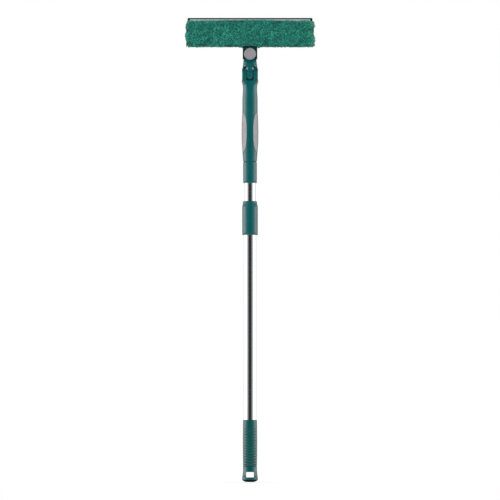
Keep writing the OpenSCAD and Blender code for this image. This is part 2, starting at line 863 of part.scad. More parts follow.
module bracket_screws() {
    color("#b4b7b8") for (side = [-1, 1]) translate([side * screw_span / 2, 0, bar_z])
        rotate_extrude() polygon([
            [0, 0.2], [screw_d, 0.2], [screw_d, 2], [screw_d / 2, 2],
            [screw_d / 2, screw_l - 1.5], [0.3, screw_l], [0, screw_l]
        ]);
}

// One strip on the front of the bar and one on the back
module hook_tapes() {
    color("#1d2423") for (side = [-1, 1])
        translate([-tape_len / 2, side * (bar_t + tape_t) / 2 - tape_t / 2, bar_z + bar_h / 2 - tape_w / 2])
            cube([tape_len, tape_t, tape_w]);
}

// A closed pocket of cloth around the bar, open for the bracket and the channel
module washer_sleeve() {
    room_t = bar_t + 2 * cloth_gap;
    color("#266e61") difference() {
        intersection() {
            through_x(sleeve_w) round_plate(sleeve_depth, sleeve_h, sleeve_round, sleeve_z);
            through_y(sleeve_depth) round_plate(sleeve_w, sleeve_h, 4, sleeve_z);
            translate([0, 0, sleeve_z + sleeve_h / 2]) linear_extrude(sleeve_h + 2, center = true)
                translate([0, -sleeve_depth / 2]) round_plate(sleeve_w, sleeve_depth, 9, 0);
        }
        through_x(bar_len + 2 * loose)
            round_plate(room_t, bar_h + 2 * loose, 1.5, bar_z - loose);
        block(hole_w, 2 * bracket_half + 2 * loose, far, bar_z - far);
        block(blade_len + 2 * loose, channel_t + 2 * loose, far, bar_z + bar_h / 2);
    }
}

// ---- Blade ----

module blade_channel() {
    color("#c9cdcc") through_x(channel_len) difference() {
        translate([0, channel_z + channel_h / 2]) square([channel_t, channel_h], center = true);
        translate([0, bead_z]) circle(d = bead_d + 0.2, $fn = 48);
        translate([-lip_t / 2 - 0.1, bead_z]) square([lip_t + 0.2, far]);
    }
}

// A bead in the channel, and a lip that runs on over the end clips
module rubber_blade() {
    color("#23302f") {
        through_x(channel_len) {
            translate([0, bead_z]) circle(d = bead_d, $fn = 48);
            translate([-lip_t / 2, bead_z]) square([lip_t, channel_top - bead_z + 0.01]);
        }
        translate([0, 0, channel_top]) through_x(blade_len)
            polygon([[-lip_t / 2, 0], [lip_t / 2, 0], [lip_t / 2 - 0.2, lip_h], [-lip_t / 2 + 0.2, lip_h]]);
    }
}

module end_clips() {
    color("#0c3a36") for (side = [-1, 1])
        translate([side * (blade_len - clip_len) / 2, 0, 0])
            block(clip_len, channel_t, channel_h, channel_z);
}

hanging_end();
grip_sleeve();
outer_tube();
collet();
lock_collar();
inner_tube();
glide_bush();
pole_connector();
thread_insert();
handle_shell();
grip_inset_left();
grip_inset_right();
fold_pin();
fold_nut();
fold_washers();
neck();
head_bracket();
swivel_screw();
swivel_nut();
rear_cover();
lock_plunger();
button_cap();
plunger_spring();
bracket_screws();
head_bar();
bar_plugs();
hook_tapes();
washer_sleeve();
blade_channel();
rubber_blade();
end_clips();
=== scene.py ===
"""Dresses a telescopic window cleaning squeegee: moulded teal plastics, polished tubes, a microfibre
washer sleeve over the head and a rubber blade on top. The pole stands along +Z, the head is long
along X and the button faces -Y. All lengths are in metres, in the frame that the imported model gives."""

import math

import bmesh
import bpy
import numpy as np
from bpy.props import FloatProperty, FloatVectorProperty, IntProperty, PointerProperty
from mathutils import Matrix, Vector


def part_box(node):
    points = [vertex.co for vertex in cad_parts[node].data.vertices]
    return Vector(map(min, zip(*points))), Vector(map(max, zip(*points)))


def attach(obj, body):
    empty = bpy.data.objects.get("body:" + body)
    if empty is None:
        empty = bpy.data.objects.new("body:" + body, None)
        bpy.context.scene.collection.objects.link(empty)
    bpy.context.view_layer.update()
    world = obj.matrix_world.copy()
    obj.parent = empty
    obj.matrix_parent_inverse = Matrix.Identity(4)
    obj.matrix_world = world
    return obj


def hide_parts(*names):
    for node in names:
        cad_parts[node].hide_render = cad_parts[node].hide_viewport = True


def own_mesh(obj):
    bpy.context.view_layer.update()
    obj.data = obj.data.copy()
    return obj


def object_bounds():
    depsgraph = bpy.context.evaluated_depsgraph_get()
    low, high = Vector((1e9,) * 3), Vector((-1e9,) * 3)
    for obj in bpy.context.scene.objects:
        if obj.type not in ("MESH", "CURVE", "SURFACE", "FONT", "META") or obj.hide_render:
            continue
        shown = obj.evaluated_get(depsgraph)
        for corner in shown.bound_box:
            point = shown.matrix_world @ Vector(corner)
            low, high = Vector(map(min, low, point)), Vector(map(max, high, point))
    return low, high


bl_info = {
    "name": "Telescopic Window Squeegee",
    "version": (1, 0, 0),
    "blender": (4, 5, 0),
    "location": "3D View > Sidebar > Squeegee",
    "description": "Builds the visible pieces and finishes of a telescopic window squeegee",
    "category": "Object",
}

MM = 0.001

# How bright the studio is to a glossy surface. Around: share of the half turn from the front to the
# back. Upward: share of the way from level to straight up or down; the lower of the two counts.
ROOM_AROUND = (
    (0, 0.025),
    (0.08, 0.035),
    (0.155, 0.2),
    (0.245, 0.55),
    (0.3, 1.1),
    (0.4, 2.3),
    (0.5, 3.9),
    (0.6, 2.9),
    (0.68, 1.1),
    (1, 0.7),
)
ROOM_UPWARD = ((0, 4.2), (0.12, 4.2), (0.26, 1.1), (0.38, 1.1), (0.62, 0.12), (1, 0.12))
# How bright the studio is to everything else.
EVEN_LIGHT = 0.36
FLOOR_RADIUS = 0.8

# Each lamp's name, place and power in watts, and the width and height that both have.
LAMPS = (("lamp_front", (-0.25, -2.4, 1.3), 46), ("lamp_back", (-0.6, 2.4, 1.7), 34))
LAMP_SIZE = (1.8, 1.6)

# The camera's focal length in millimetres, its height over the floor, and the height of its view as a
# share of the object's.
LENS = 400.0
EYE_HEIGHT = 70 * MM
VIEW_SHARE = 1.076

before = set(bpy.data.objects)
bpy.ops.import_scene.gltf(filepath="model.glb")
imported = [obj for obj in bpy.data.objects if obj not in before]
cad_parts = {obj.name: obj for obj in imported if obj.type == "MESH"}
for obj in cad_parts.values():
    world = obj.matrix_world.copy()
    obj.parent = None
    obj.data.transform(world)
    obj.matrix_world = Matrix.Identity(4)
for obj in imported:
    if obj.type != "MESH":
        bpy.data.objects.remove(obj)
cad_box = [list(corner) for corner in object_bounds()]


# ---- Colours ----


def linear(code):
    """An sRGB hex colour such as #06605a as linear red, green, blue and alpha."""
    shares = [int(code[i : i + 2], 16) / 255 for i in (1, 3, 5)]
    return [s / 12.92 if s <= 0.04045 else ((s + 0.055) / 1.055) ** 2.4 for s in shares] + [1.0]


def shade(colour, factor):
    """The same colour, lighter above 1 and darker below it."""
    return [min(1.0, channel * factor) for channel in colour[:3]] + [1.0]


def colour_property(name, description, code):
    return FloatVectorProperty(
        name=name, description=description, subtype="COLOR", size=4, min=0, max=1, default=linear(code)
    )


def length_property(name, description, millimetres):
    return FloatProperty(
        name=name, description=description, default=millimetres * MM, min=0, unit="LENGTH", precision=5
    )


class SqueegeeColours(bpy.types.PropertyGroup):
    """The finishes' own colours"""

    teal: colour_property("Teal", "Moulded plastic of the handle and the fittings", "#00585a")
    # Painted shade: the handle's teal darkened to near black, the shade that the bracket sits in under
    # the sleeve. Head bar, rear cover and end clips share it.
    dark_teal: colour_property("Dark teal", "Bracket, head bar and end clips", "#0b2b28")
    grip: colour_property("Grip", "Ribbed sleeve at the pole's foot", "#005350")
    rubber_grey: colour_property("Grey rubber", "Soft insets in the handle", "#a8a8aa")
    button_grey: colour_property("Button", "Push button on the swivel", "#928f94")
    aluminium: colour_property("Aluminium", "Polished aluminium of the two tubes", "#d3d5d7")
    channel: colour_property("Channel", "Matt anodised aluminium of the blade channel", "#dcf0ec")
    steel: colour_property("Steel", "Pin, nuts, screws and the button's spring", "#94989a")
    # Black nylon also colours the strips of painted shade in the gaps beside the neck.
    nylon_black: colour_property("Black nylon", "Collet, bush, plunger, washers and seals", "#262d2c")
    nylon_white: colour_property("White nylon", "Glide bush", "#dadad4")
    pile: colour_property("Pile", "Microfibre pile of the washer sleeve", "#379a88")
    pile_light: colour_property("Light pile", "The palest strands of the pile", "#74cdb8")
    backing: colour_property("Backing", "Knitted cloth under the pile", "#1c6f60")
    blade: colour_property("Blade", "Rubber of the wiping blade", "#1c292a")
    tape: colour_property("Hook tape", "Hook tapes on the head bar", "#1d2423")
    floor: colour_property("Floor", "Studio floor", "#f4f4f4")


class SqueegeeSizes(bpy.types.PropertyGroup):
    """Sizes of the details that the finished pieces add to the frame"""

    edge_round: length_property("Edge rounding", "Radius that light sees on moulded edges", 0.5)
    groove_pitch: length_property("Groove pitch", "Spacing of the grooves around the grip", 5.5)
    groove_width: length_property("Groove width", "Width of each groove of the grip", 1.2)
    groove_depth: length_property("Groove depth", "Depth of each groove of the grip", 0.35)
    groove_start: length_property("First groove", "Height of the first groove above the grip's foot", 2.5)
    groove_count: IntProperty(
        name="Grooves", description="Number of grooves on the grip", default=14, min=1
    )
    slot_width: length_property("Slot width", "Width of the hanging slot", 15.4)
    slot_height: length_property("Slot height", "Height of the hanging slot", 10.6)
    slot_foot: length_property("Slot foot", "Height of the hanging slot's lower edge", 9.4)
    tuft_spacing: length_property("Tuft spacing", "Distance between the tufts of the pile", 1.5)
    tuft_length: length_property("Tuft length", "How far a tuft stands off its backing", 3.9)
    tuft_radius: length_property("Tuft radius", "Radius of a tuft", 0.66)
    screw_radius: length_property("Screw radius", "Radius of the screw that holds the handle", 9.5)
    screw_pitch: length_property("Screw pitch", "Rise of that screw's thread in one turn", 4.0)
    # The strips of painted shade that darken the gaps beside the neck.
    gap_shade_height: length_property("Seal height", "Height of the seals between the ears and the neck", 2.6)
    bracket_width: length_property("Bracket width", "Width of the swivel bracket", 29.2)
    opening_gap: length_property("Opening gap", "Room that the sleeve leaves around the bracket", 0.7)


def sizes():
    return bpy.context.scene.squeegee_sizes


def colours():
    return bpy.context.scene.squeegee_colours


# ---- Materials ----


def add(tree, kind, inputs=None, **settings):
    """Adds a shader node with its settings. Each input takes a value, or the node or socket that feeds
    it. A Mix node's inputs are numbered: 2 and 3 are its numbers, 6 and 7 its colours."""
    node = tree.nodes.new("ShaderNode" + kind)
    for name, value in settings.items():
        setattr(node, name, value)
    for name, value in (inputs or {}).items():
        if isinstance(value, bpy.types.Node):
            value = value.outputs[0]
        if isinstance(value, bpy.types.NodeSocket):
            tree.links.new(value, node.inputs[name])
        else:
            node.inputs[name].default_value = value
    return node


def new_material(name):
    """An empty material and its node tree."""
    material = bpy.data.materials.new(name)
    material.use_nodes = True
    material.node_tree.nodes.clear()
    return material, material.node_tree


def surface(tree, inputs):
    """Ends a material with its shader. What is the same all over is a plain value among the inputs."""
    shader = add(tree, "BsdfPrincipled", inputs)
    add(tree, "OutputMaterial", {"Surface": shader})


def lumps(tree, size, detail=2.0, stretch=(1, 1, 1)):
    """Soft random lumps about size metres across, fixed in the object's own space."""
    place = add(tree, "TexCoord").outputs["Object"]
    if stretch != (1, 1, 1):
        place = add(tree, "Mapping", {"Vector": place, "Scale": stretch})
    return add(tree, "TexNoise", {"Vector": place, "Scale": 1 / size, "Detail": detail})


def follow(tree, pattern, low, high, between=(0.35, 0.65)):
    """A number or a colour that runs from low to high as the pattern crosses the span between."""
    span = {"Value": pattern, "From Min": between[0], "From Max": between[1]}
    if isinstance(low, (int, float)):
        return add(tree, "MapRange", {**span, "To Min": low, "To Max": high}).outputs[0]
    share = add(tree, "MapRange", span)
    return add(tree, "Mix", {0: share, 6: low, 7: high}, data_type="RGBA").outputs[2]


def moulded_abs(tree, colour, roughness=0.12):
    """Injection-moulded ABS off a polished tool: a gloss that breaks softly, faint flow marks in the
    colour, an orange-peel skin and edges that are rounded and a little paler from use."""
    flow = lumps(tree, 18 * MM, stretch=(1, 1, 0.35))
    body = follow(tree, flow, shade(colour, 0.94), shade(colour, 1.06))
    rounded = add(tree, "Bevel", {"Radius": sizes().edge_round}, samples=6)
    flat = add(tree, "NewGeometry").outputs["Normal"]
    along = add(tree, "VectorMath", {0: rounded, 1: flat}, operation="DOT_PRODUCT").outputs["Value"]
    worn = follow(tree, along, 0.35, 0, between=(0.8, 0.99))
    mix = add(tree, "Mix", {0: worn, 6: body, 7: shade(colour, 1.8)}, data_type="RGBA")
    # Handling marks a few millimetres long change the gloss a little.
    smudge = lumps(tree, 7 * MM, detail=4)
    # The real orange peel is about 0.2 mm; it is drawn at 0.9 mm so that it shows.
    peel = lumps(tree, 0.9 * MM, detail=1)
    inputs = {
        "Base Color": mix.outputs[2],
        "Roughness": follow(tree, smudge, roughness - 0.03, roughness + 0.05),
        "Normal": add(tree, "Bump", {"Height": peel, "Distance": 0.006 * MM, "Normal": rounded}),
        "IOR": 1.53,
    }
    surface(tree, inputs)


def soft_rubber(tree, colour, roughness=0.5, depth=0.02 * MM):
    """Moulded thermoplastic rubber with a spark-eroded skin: a dull sheen over a fine, even grain."""
    # The real grain is about 0.1 mm; it is drawn at 0.7 mm so that it shows.
    grain = lumps(tree, 0.7 * MM)
    inputs = {
        "Base Color": follow(tree, lumps(tree, 9 * MM), shade(colour, 0.95), shade(colour, 1.04)),
        "Roughness": follow(tree, grain, roughness - 0.05, roughness + 0.08),
        "Normal": add(tree, "Bump", {"Height": grain, "Distance": depth}),
        "IOR": 1.5,
    }
    surface(tree, inputs)


def drawn_aluminium(tree, colour):
    """Drawn, polished and clear-anodised aluminium: a bright mirror with faint lines along the draw."""
    # Draw lines are a few hundredths wide; they are drawn 0.35 mm wide and far longer.
    lines = lumps(tree, 0.35 * MM, detail=3, stretch=(1, 1, 0.02))
    haze = lumps(tree, 25 * MM, stretch=(1, 1, 0.3))
    inputs = {
        "Base Color": follow(tree, lines, shade(colour, 0.965), colour),
        "Roughness": follow(tree, haze, 0.135, 0.185),
        "Normal": add(tree, "Bump", {"Height": lines, "Distance": 0.0012 * MM}),
        "Metallic": 1.0,
    }
    surface(tree, inputs)


def matt_anodised(tree, colour):
    """Etched and anodised aluminium extrusion: a pale, even bloom that is never a mirror, with fine
    die lines along it."""
    # Die lines are a few hundredths wide; they are drawn 0.4 mm wide.
    lines = lumps(tree, 0.4 * MM, stretch=(0.02, 1, 1))
    inputs = {
        "Base Color": follow(tree, lines, shade(colour, 0.93), colour),
        "Roughness": follow(tree, lines, 0.42, 0.55),
        "Normal": add(tree, "Bump", {"Height": lines, "Distance": 0.004 * MM}),
        "Metallic": 0.55,
    }
    surface(tree, inputs)


def plated_steel(tree, colour):
    """Bright zinc-plated steel, tumbled: grey, with a gloss mottled by dents 1 to 2 mm across."""
    mottle = lumps(tree, 1.6 * MM, detail=3)
    inputs = {
        "Base Color": follow(tree, mottle, shade(colour, 0.85), colour),
        "Roughness": follow(tree, mottle, 0.22, 0.38),
        "Normal": add(tree, "Bump", {"Height": mottle, "Distance": 0.01 * MM}),
        "Metallic": 1.0,
    }
    surface(tree, inputs)


def moulded_nylon(tree, colour):
    """Moulded nylon as it leaves a plain tool: waxy and slightly uneven."""
    cloud = lumps(tree, 5 * MM, detail=3)
    inputs = {
        "Base Color": follow(tree, cloud, shade(colour, 0.92), shade(colour, 1.05)),
        "Roughness": follow(tree, cloud, 0.36, 0.48),
        # The tool's own marks are finer; they are drawn 0.6 mm wide so that they show.
        "Normal": add(tree, "Bump", {"Height": lumps(tree, 0.6 * MM), "Distance": 0.008 * MM}),
        "IOR": 1.53,
    }
    surface(tree, inputs)


def blade_rubber(tree, colour):
    """Extruded EPDM rubber, cut to length: near black, with a dry sheen and fine lines along it."""
    bloom = lumps(tree, 8 * MM, detail=3)
    # Lines from the die are under 0.1 mm wide; they are drawn 0.4 mm wide.
    lines = lumps(tree, 0.4 * MM, stretch=(0.03, 1, 1))
    inputs = {
        "Base Color": follow(tree, bloom, shade(colour, 0.5), shade(colour, 0.8)),
        "Roughness": follow(tree, bloom, 0.5, 0.62),
        "Normal": add(tree, "Bump", {"Height": lines, "Distance": 0.01 * MM}),
        "IOR": 1.52,
        "Specular IOR Level": 0.25,
    }
    surface(tree, inputs)


def microfibre_pile(tree, colour, pale):
    """Split-polyester microfibre pile: soft and shineless. Each tuft takes the dye a little
    differently and patches lie lighter or darker. The sleeve's ends are drawn paler, a painted highlight,
    and its upper and lower edges darker, a painted shade."""
    low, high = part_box("washer_sleeve")
    place = add(tree, "SeparateXYZ", {0: add(tree, "TexCoord").outputs["Object"]}).outputs
    each = add(tree, "NewGeometry").outputs["Random Per Island"]
    base = follow(tree, each, shade(colour, 0.6), shade(colour, 1.3), between=(0, 0.8))
    patch = follow(tree, lumps(tree, 14 * MM), 0.86, 1.16, between=(0.3, 0.7))
    clump = follow(tree, lumps(tree, 3.4 * MM, detail=1), 0.72, 1.3, between=(0.36, 0.64))
    # Painted shade: the pile is drawn darker towards its upper and lower edges, where the sleeve turns
    # away from the light.
    off = add(tree, "Math", {0: place["Z"], 1: (low.z + high.z) / 2}, operation="SUBTRACT")
    off = add(tree, "Math", {0: off}, operation="ABSOLUTE")
    edge = follow(tree, off, 1, 0.84, between=(9 * MM, 24 * MM))
    tone_and_shade = add(tree, "Math", {0: patch, 1: clump}, operation="MULTIPLY")
    tone_and_shade = add(tree, "Math", {0: tone_and_shade, 1: edge}, operation="MULTIPLY")
    toned = add(tree, "VectorMath", {0: base, "Scale": tone_and_shade}, operation="SCALE")
    # About one tuft in eight is pale. All of them are drawn paler near the sleeve's ends, more at the
    # right end than the left: a painted highlight where the end tufts catch the light.
    share = follow(tree, each, 0, 0.8, between=(0.88, 1.0))
    right = follow(tree, place["X"], 0, 0.28, between=(high.x - 12 * MM, high.x - 4 * MM))
    left = follow(tree, place["X"], 0.14, 0, between=(4 * MM - high.x, 12 * MM - high.x))
    for extra in (right, left):
        share = add(tree, "Math", {0: share, 1: extra}, operation="ADD", use_clamp=True)
    # Single fibres are 0.01 mm; the strands that show along a tuft are about 0.25 mm.
    strands = lumps(tree, 0.25 * MM)
    inputs = {
        "Base Color": add(tree, "Mix", {0: share, 6: toned, 7: pale}, data_type="RGBA").outputs[2],
        "Normal": add(tree, "Bump", {"Height": strands, "Distance": 0.08 * MM}),
        "Roughness": 0.95,
        "Specular IOR Level": 0.1,
        "Sheen Weight": 0.06,
        "Sheen Tint": pale,
    }
    surface(tree, inputs)


def cells(tree, size, randomness):
    """Distance from the middles of cells size metres apart, such as stitches or hooks in rows."""
    place = add(tree, "TexCoord").outputs["Object"]
    inputs = {"Vector": place, "Scale": 1 / size, "Randomness": randomness}
    return add(tree, "TexVoronoi", inputs).outputs["Distance"]


def knitted_backing(tree, colour):
    """The knitted polyester ground that the pile is worked into: small dark stitches in rows."""
    stitch = cells(tree, 1.2 * MM, randomness=0.35)
    inputs = {
        "Base Color": follow(tree, stitch, colour, shade(colour, 0.45), between=(0, 0.6)),
        "Normal": add(tree, "Bump", {"Height": stitch, "Distance": 0.2 * MM}),
        "Roughness": 0.9,
        "Sheen Weight": 0.2,
        "IOR": 1.45,
    }
    surface(tree, inputs)


def hook_tape(tree, colour):
    """Woven nylon tape with rows of small hooks, paler where a hook stands."""
    hooks = cells(tree, 1.1 * MM, randomness=0.15)
    inputs = {
        "Base Color": follow(tree, hooks, shade(colour, 2), colour, between=(0, 0.5)),
        "Normal": add(tree, "Bump", {"Height": hooks, "Distance": -0.3 * MM}),
        "Roughness": 0.6,
        "IOR": 1.53,
    }
    surface(tree, inputs)


def finish(name):
    """The material of that name, made once from the colours."""
    if name in bpy.data.materials:
        return bpy.data.materials[name]
    c = colours()
    makers = {
        "teal_abs": (moulded_abs, c.teal),
        "dark_abs": (moulded_abs, c.dark_teal, 0.2),
        "button_abs": (moulded_abs, c.button_grey, 0.32),
        "grip_rubber": (soft_rubber, c.grip, 0.12, 0.003 * MM),
        "inset_rubber": (soft_rubber, c.rubber_grey),
        "tube_aluminium": (drawn_aluminium, c.aluminium),
        "channel_aluminium": (matt_anodised, c.channel),
        "zinc_steel": (plated_steel, c.steel),
        "black_nylon_moulding": (moulded_nylon, c.nylon_black),
        "white_nylon_moulding": (moulded_nylon, c.nylon_white),
        "epdm_blade": (blade_rubber, c.blade),
        "microfibre_plush": (microfibre_pile, c.pile, c.pile_light),
        "sleeve_backing": (knitted_backing, c.backing),
        "hook_tape_nylon": (hook_tape, c.tape),
    }
    make, *looks = makers[name]
    material, tree = new_material(name)
    make(tree, *looks)
    return material


# ---- Mesh helpers ----


def outline(corners, steps=5):
    """A smooth line through corners given as (x, y, rounding), where rounding is how far from the
    corner its arc starts. The first and last corners stay sharp."""
    points = []
    for i, (x, y, rounding) in enumerate(corners):
        here = Vector((x, y))
        if not rounding or i in (0, len(corners) - 1):
            points.append(here)
            continue
        before = Vector(corners[i - 1][:2]) - here
        after = Vector(corners[i + 1][:2]) - here
        start = here + before.normalized() * min(rounding, before.length / 2)
        end = here + after.normalized() * min(rounding, after.length / 2)
        for k in range(steps + 1):
            t = k / steps
            points.append(start * (1 - t) ** 2 + here * 2 * t * (1 - t) + end * t**2)
    return [(p.x, p.y) for p in points]


def lathe(profile, segments=96, closed=False):
    """Turns a line of (radius, height) points about Z. A point on the axis becomes one vertex."""
    turns = [math.tau * i / segments for i in range(segments)]
    verts, rings, faces = [], [], []
    for radius, height in profile:
        start = len(verts)
        if radius < 1e-7:
            verts.append((0, 0, height))
            rings.append([start] * segments)
        else:
            verts += [(radius * math.cos(a), radius * math.sin(a), height) for a in turns]
            rings.append(list(range(start, start + segments)))
    pairs = list(zip(rings, rings[1:])) + ([(rings[-1], rings[0])] if closed else [])
    for low, high in pairs:
        for i in range(segments):
            j = (i + 1) % segments
            face = list(dict.fromkeys((low[i], low[j], high[j], high[i])))
            if len(face) > 2:
                faces.append(face)
    return verts, faces


def turned(name, corners, segments=128, closed=True, place=None, steps=5):
    """A piece turned about Z from the corners of its section, as outline takes them. A section that
    isn't closed starts and ends on the axis."""
    return build(name, *lathe(outline(corners, steps), segments, closed), place=place)


def prism(points, length):
    """A closed outline in Y and Z, drawn out along X and centred on it, with flat ends."""
    count = len(points)
    verts = [(x, y, z) for x in (-length / 2, length / 2) for y, z in points]
    faces = [[i, (i + 1) % count, count + (i + 1) % count, count + i] for i in range(count)]
    return verts, faces + [list(range(count))[::-1], list(range(count, 2 * count))]


def build(name, verts, faces, place=None, sharp=35):
    """An object from vertices and faces, smooth apart from edges sharper than that many degrees."""
    mesh = bpy.data.meshes.new(name)
    mesh.from_pydata([tuple(v) for v in verts], [], faces)
    tidy = bmesh.new()
    tidy.from_mesh(mesh)
    bmesh.ops.recalc_face_normals(tidy, faces=tidy.faces)
    if tidy.calc_volume(signed=True) < 0:
        bmesh.ops.reverse_faces(tidy, faces=tidy.faces)
    tidy.to_mesh(mesh)
    tidy.free()
    if place is not None:
        mesh.transform(place)
    obj = bpy.data.objects.new(name, mesh)
    bpy.context.scene.collection.objects.link(obj)
    smooth(obj, sharp)
    return obj


def smooth(obj, sharp=35):
    """Smooth shading, apart from edges sharper than that many degrees."""
    obj.data.polygons.foreach_set("use_smooth", [True] * len(obj.data.polygons))
    obj.data.set_sharp_from_angle(angle=math.radians(sharp))


def welded(node, name):
    """A copy of a frame node with its faces joined, so that it shades as one moulding."""
    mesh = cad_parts[node].data.copy()
    mesh.name = name
    joined = bmesh.new()
    joined.from_mesh(mesh)
    bmesh.ops.remove_doubles(joined, verts=joined.verts, dist=1e-6)
    bmesh.ops.recalc_face_normals(joined, faces=joined.faces)
    joined.to_mesh(mesh)
    joined.free()
    obj = bpy.data.objects.new(name, mesh)
    bpy.context.scene.collection.objects.link(obj)
    smooth(obj, 30)
    return obj


def softened(node, name, voxel, passes=6, stretch=(1, 1, 1), hollow=None):
    """A copy of a frame node, remeshed and relaxed so that every edge gets a moulding's small radius.
    Where a stretch is above 1, the new faces are that much longer along its axis. hollow is what
    fill_hollow takes."""
    obj = welded(node, name)
    if hollow:
        fill_hollow(obj, *hollow)
    obj.data.transform(Matrix.Diagonal([1 / factor for factor in stretch] + [1]))
    remesh = obj.modifiers.new("remesh", "REMESH")
    remesh.mode = "VOXEL"
    remesh.voxel_size = voxel
    relax = obj.modifiers.new("relax", "SMOOTH")
    relax.factor = 0.5
    relax.iterations = passes
    apply_modifiers(obj)
    obj.data.transform(Matrix.Diagonal([*stretch, 1]))
    smooth(obj, 60)
    return obj


def fill_hollow(obj, radius, low, high):
    """Fills a hollow that can't be seen: its walls inside the radius and between the two heights go,
    and a flat ceiling closes it at the lower one."""
    shape = bmesh.new()
    shape.from_mesh(obj.data)
    plane = {"plane_co": (0, 0, low), "plane_no": (0, 0, 1)}
    bmesh.ops.bisect_plane(shape, geom=shape.verts[:] + shape.edges[:] + shape.faces[:], **plane)
    walls = []
    for face in shape.faces:
        at = face.calc_center_median()
        if math.hypot(at.x, at.y) < radius and low < at.z < high:
            walls.append(face)
    bmesh.ops.delete(shape, geom=walls, context="FACES")
    open_edges = [edge for edge in shape.edges if edge.is_boundary]
    bmesh.ops.holes_fill(shape, edges=open_edges, sides=0)
    shape.to_mesh(obj.data)
    shape.free()


def cut(obj, tool):
    """Takes the tool's volume out of the object, then deletes the tool."""
    modifier = obj.modifiers.new("cut", "BOOLEAN")
    modifier.operation = "DIFFERENCE"
    modifier.solver = "MANIFOLD"
    modifier.object = tool
    apply_modifiers(obj)
    bpy.data.objects.remove(tool)
    smooth(obj)


def apply_modifiers(obj):
    """Puts what the modifiers make into the object's own mesh, and drops them."""
    evaluated = obj.evaluated_get(bpy.context.evaluated_depsgraph_get())
    mesh = bpy.data.meshes.new_from_object(evaluated)
    obj.modifiers.clear()
    obj.data = mesh


def fit(obj, material, body, slot, *nodes):
    """Finishes a piece: its material, the body it rides on, and the nodes it stands for, which it hides.
    The slot is not used.
    """
    obj.data.materials.clear()
    obj.data.materials.append(finish(material))
    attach(obj, body)
    if nodes:
        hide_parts(*nodes)
    return obj


def dress(material, *nodes):
    """Gives frame nodes that keep their own shape a finish."""
    for node in nodes:
        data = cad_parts[node].data
        data.materials.clear()
        data.materials.append(finish(material))


def radius_of(node):
    """Half the width of a round node."""
    low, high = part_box(node)
    return (high.x - low.x) / 2


# ---- Pole ----


class SQUEEGEE_OT_hanging_end(bpy.types.Operator):
    """Turn the flared foot of the pole and cut the hanging slot through it"""

    bl_idname = "squeegee.hanging_end"
    bl_label = "Hanging end"

    def execute(self, context):
        s = sizes()
        low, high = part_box("hanging_end")
        grip_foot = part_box("grip_sleeve")[0].z
        foot, end = high.x, 14 * MM
        bore = radius_of("outer_tube") - 1 * MM
        spigot = bore - 2.4 * MM
        slot_top = s.slot_foot + s.slot_height
        floor = grip_foot - 4 * MM
        corners = [
            (0, low.z, 0),
            (foot * 0.6, low.z + 0.5 * MM, 3 * MM),
            (foot - 1.8 * MM, 2.8 * MM, 0.8 * MM),
            (foot + 0.1 * MM, 4.3 * MM, 0.5 * MM),
            (foot, 7.6 * MM, 0.7 * MM),
            (foot, 9.8 * MM, 0.8 * MM),
            (foot - 0.8 * MM, 13 * MM, 2 * MM),
            (end + 0.3 * MM, slot_top, 3 * MM),
            (end, slot_top + 4 * MM, 2 * MM),
            (end, grip_foot - 0.5 * MM, 0.3 * MM),
            (end - 0.5 * MM, grip_foot, 0),
            (bore, grip_foot, 0),
            (bore, high.z - 1 * MM, 0.6 * MM),
            (bore - 1 * MM, high.z, 0),
            (spigot, high.z, 0),
            (spigot, floor, 0),
            (0, floor, 0),
        ]
        piece = turned("hanging_foot", corners, closed=False)
        cut(piece, self.slot_tool(foot))
        fit(piece, "teal_abs", "pole", "teal_plastic", "hanging_end")
        return {"FINISHED"}

    def slot_section(self, half_w, half_h):
        """The slot's outline about its middle: round corners, with extra points on its long sides."""
        corner = 1.2 * MM
        loop = []
        for i, (sx, sz) in enumerate(((1, 1), (-1, 1), (-1, -1), (1, -1))):
            for k in range(5):
                a = math.radians(90 * i + 22.5 * k)
                x = sx * (half_w - corner) + corner * math.cos(a)
                loop.append((x, sz * (half_h - corner) + corner * math.sin(a)))
            if sx == sz:
                start = sx * (half_w - corner)
                loop += [(start * share, sz * half_h) for share in (0.67, 0.33, 0, -0.33, -0.67)]
        return loop

    def slot_tool(self, foot):
        """A bar with the slot's section that flares where it leaves the moulding, least at its foot."""
        s = sizes()
        half_w, half_h = s.slot_width / 2, s.slot_height / 2
        middle = s.slot_foot + half_h
        loop = self.slot_section(half_w, half_h)
        lower_flare = 0.2
        # Depths under the skin with the flare there, both in millimetres.
        stations = [(-3.0, 2.6), (0.0, 0.6), (0.25, 0.28), (0.6, 0.06), (1.0, 0.0)]
        ordered = [(-1, d, f) for d, f in stations] + [(1, d, f) for d, f in reversed(stations)]
        # The moulding is a little slimmer beside the slot than at its foot.
        girth = foot**2 * 0.94
        verts, rings = [], []
        for side, depth, flare in ordered:
            start = len(verts)
            for x, z in loop:
                wide_x = x * (1 + flare * MM / half_w)
                wide_z = z * (1 + (flare if z > 0 else flare * lower_flare) * MM / half_h)
                skin = math.sqrt(max(girth - x**2, 1e-8))
                verts.append((wide_x, side * (skin - depth * MM), middle + wide_z))
            rings.append(list(range(start, start + len(loop))))
        faces = [rings[0][::-1], rings[-1]]
        for a, b in zip(rings, rings[1:]):
            for i in range(len(loop)):
                j = (i + 1) % len(loop)
                faces.append([a[i], a[j], b[j], b[i]])
        return build("slot_tool", verts, faces)


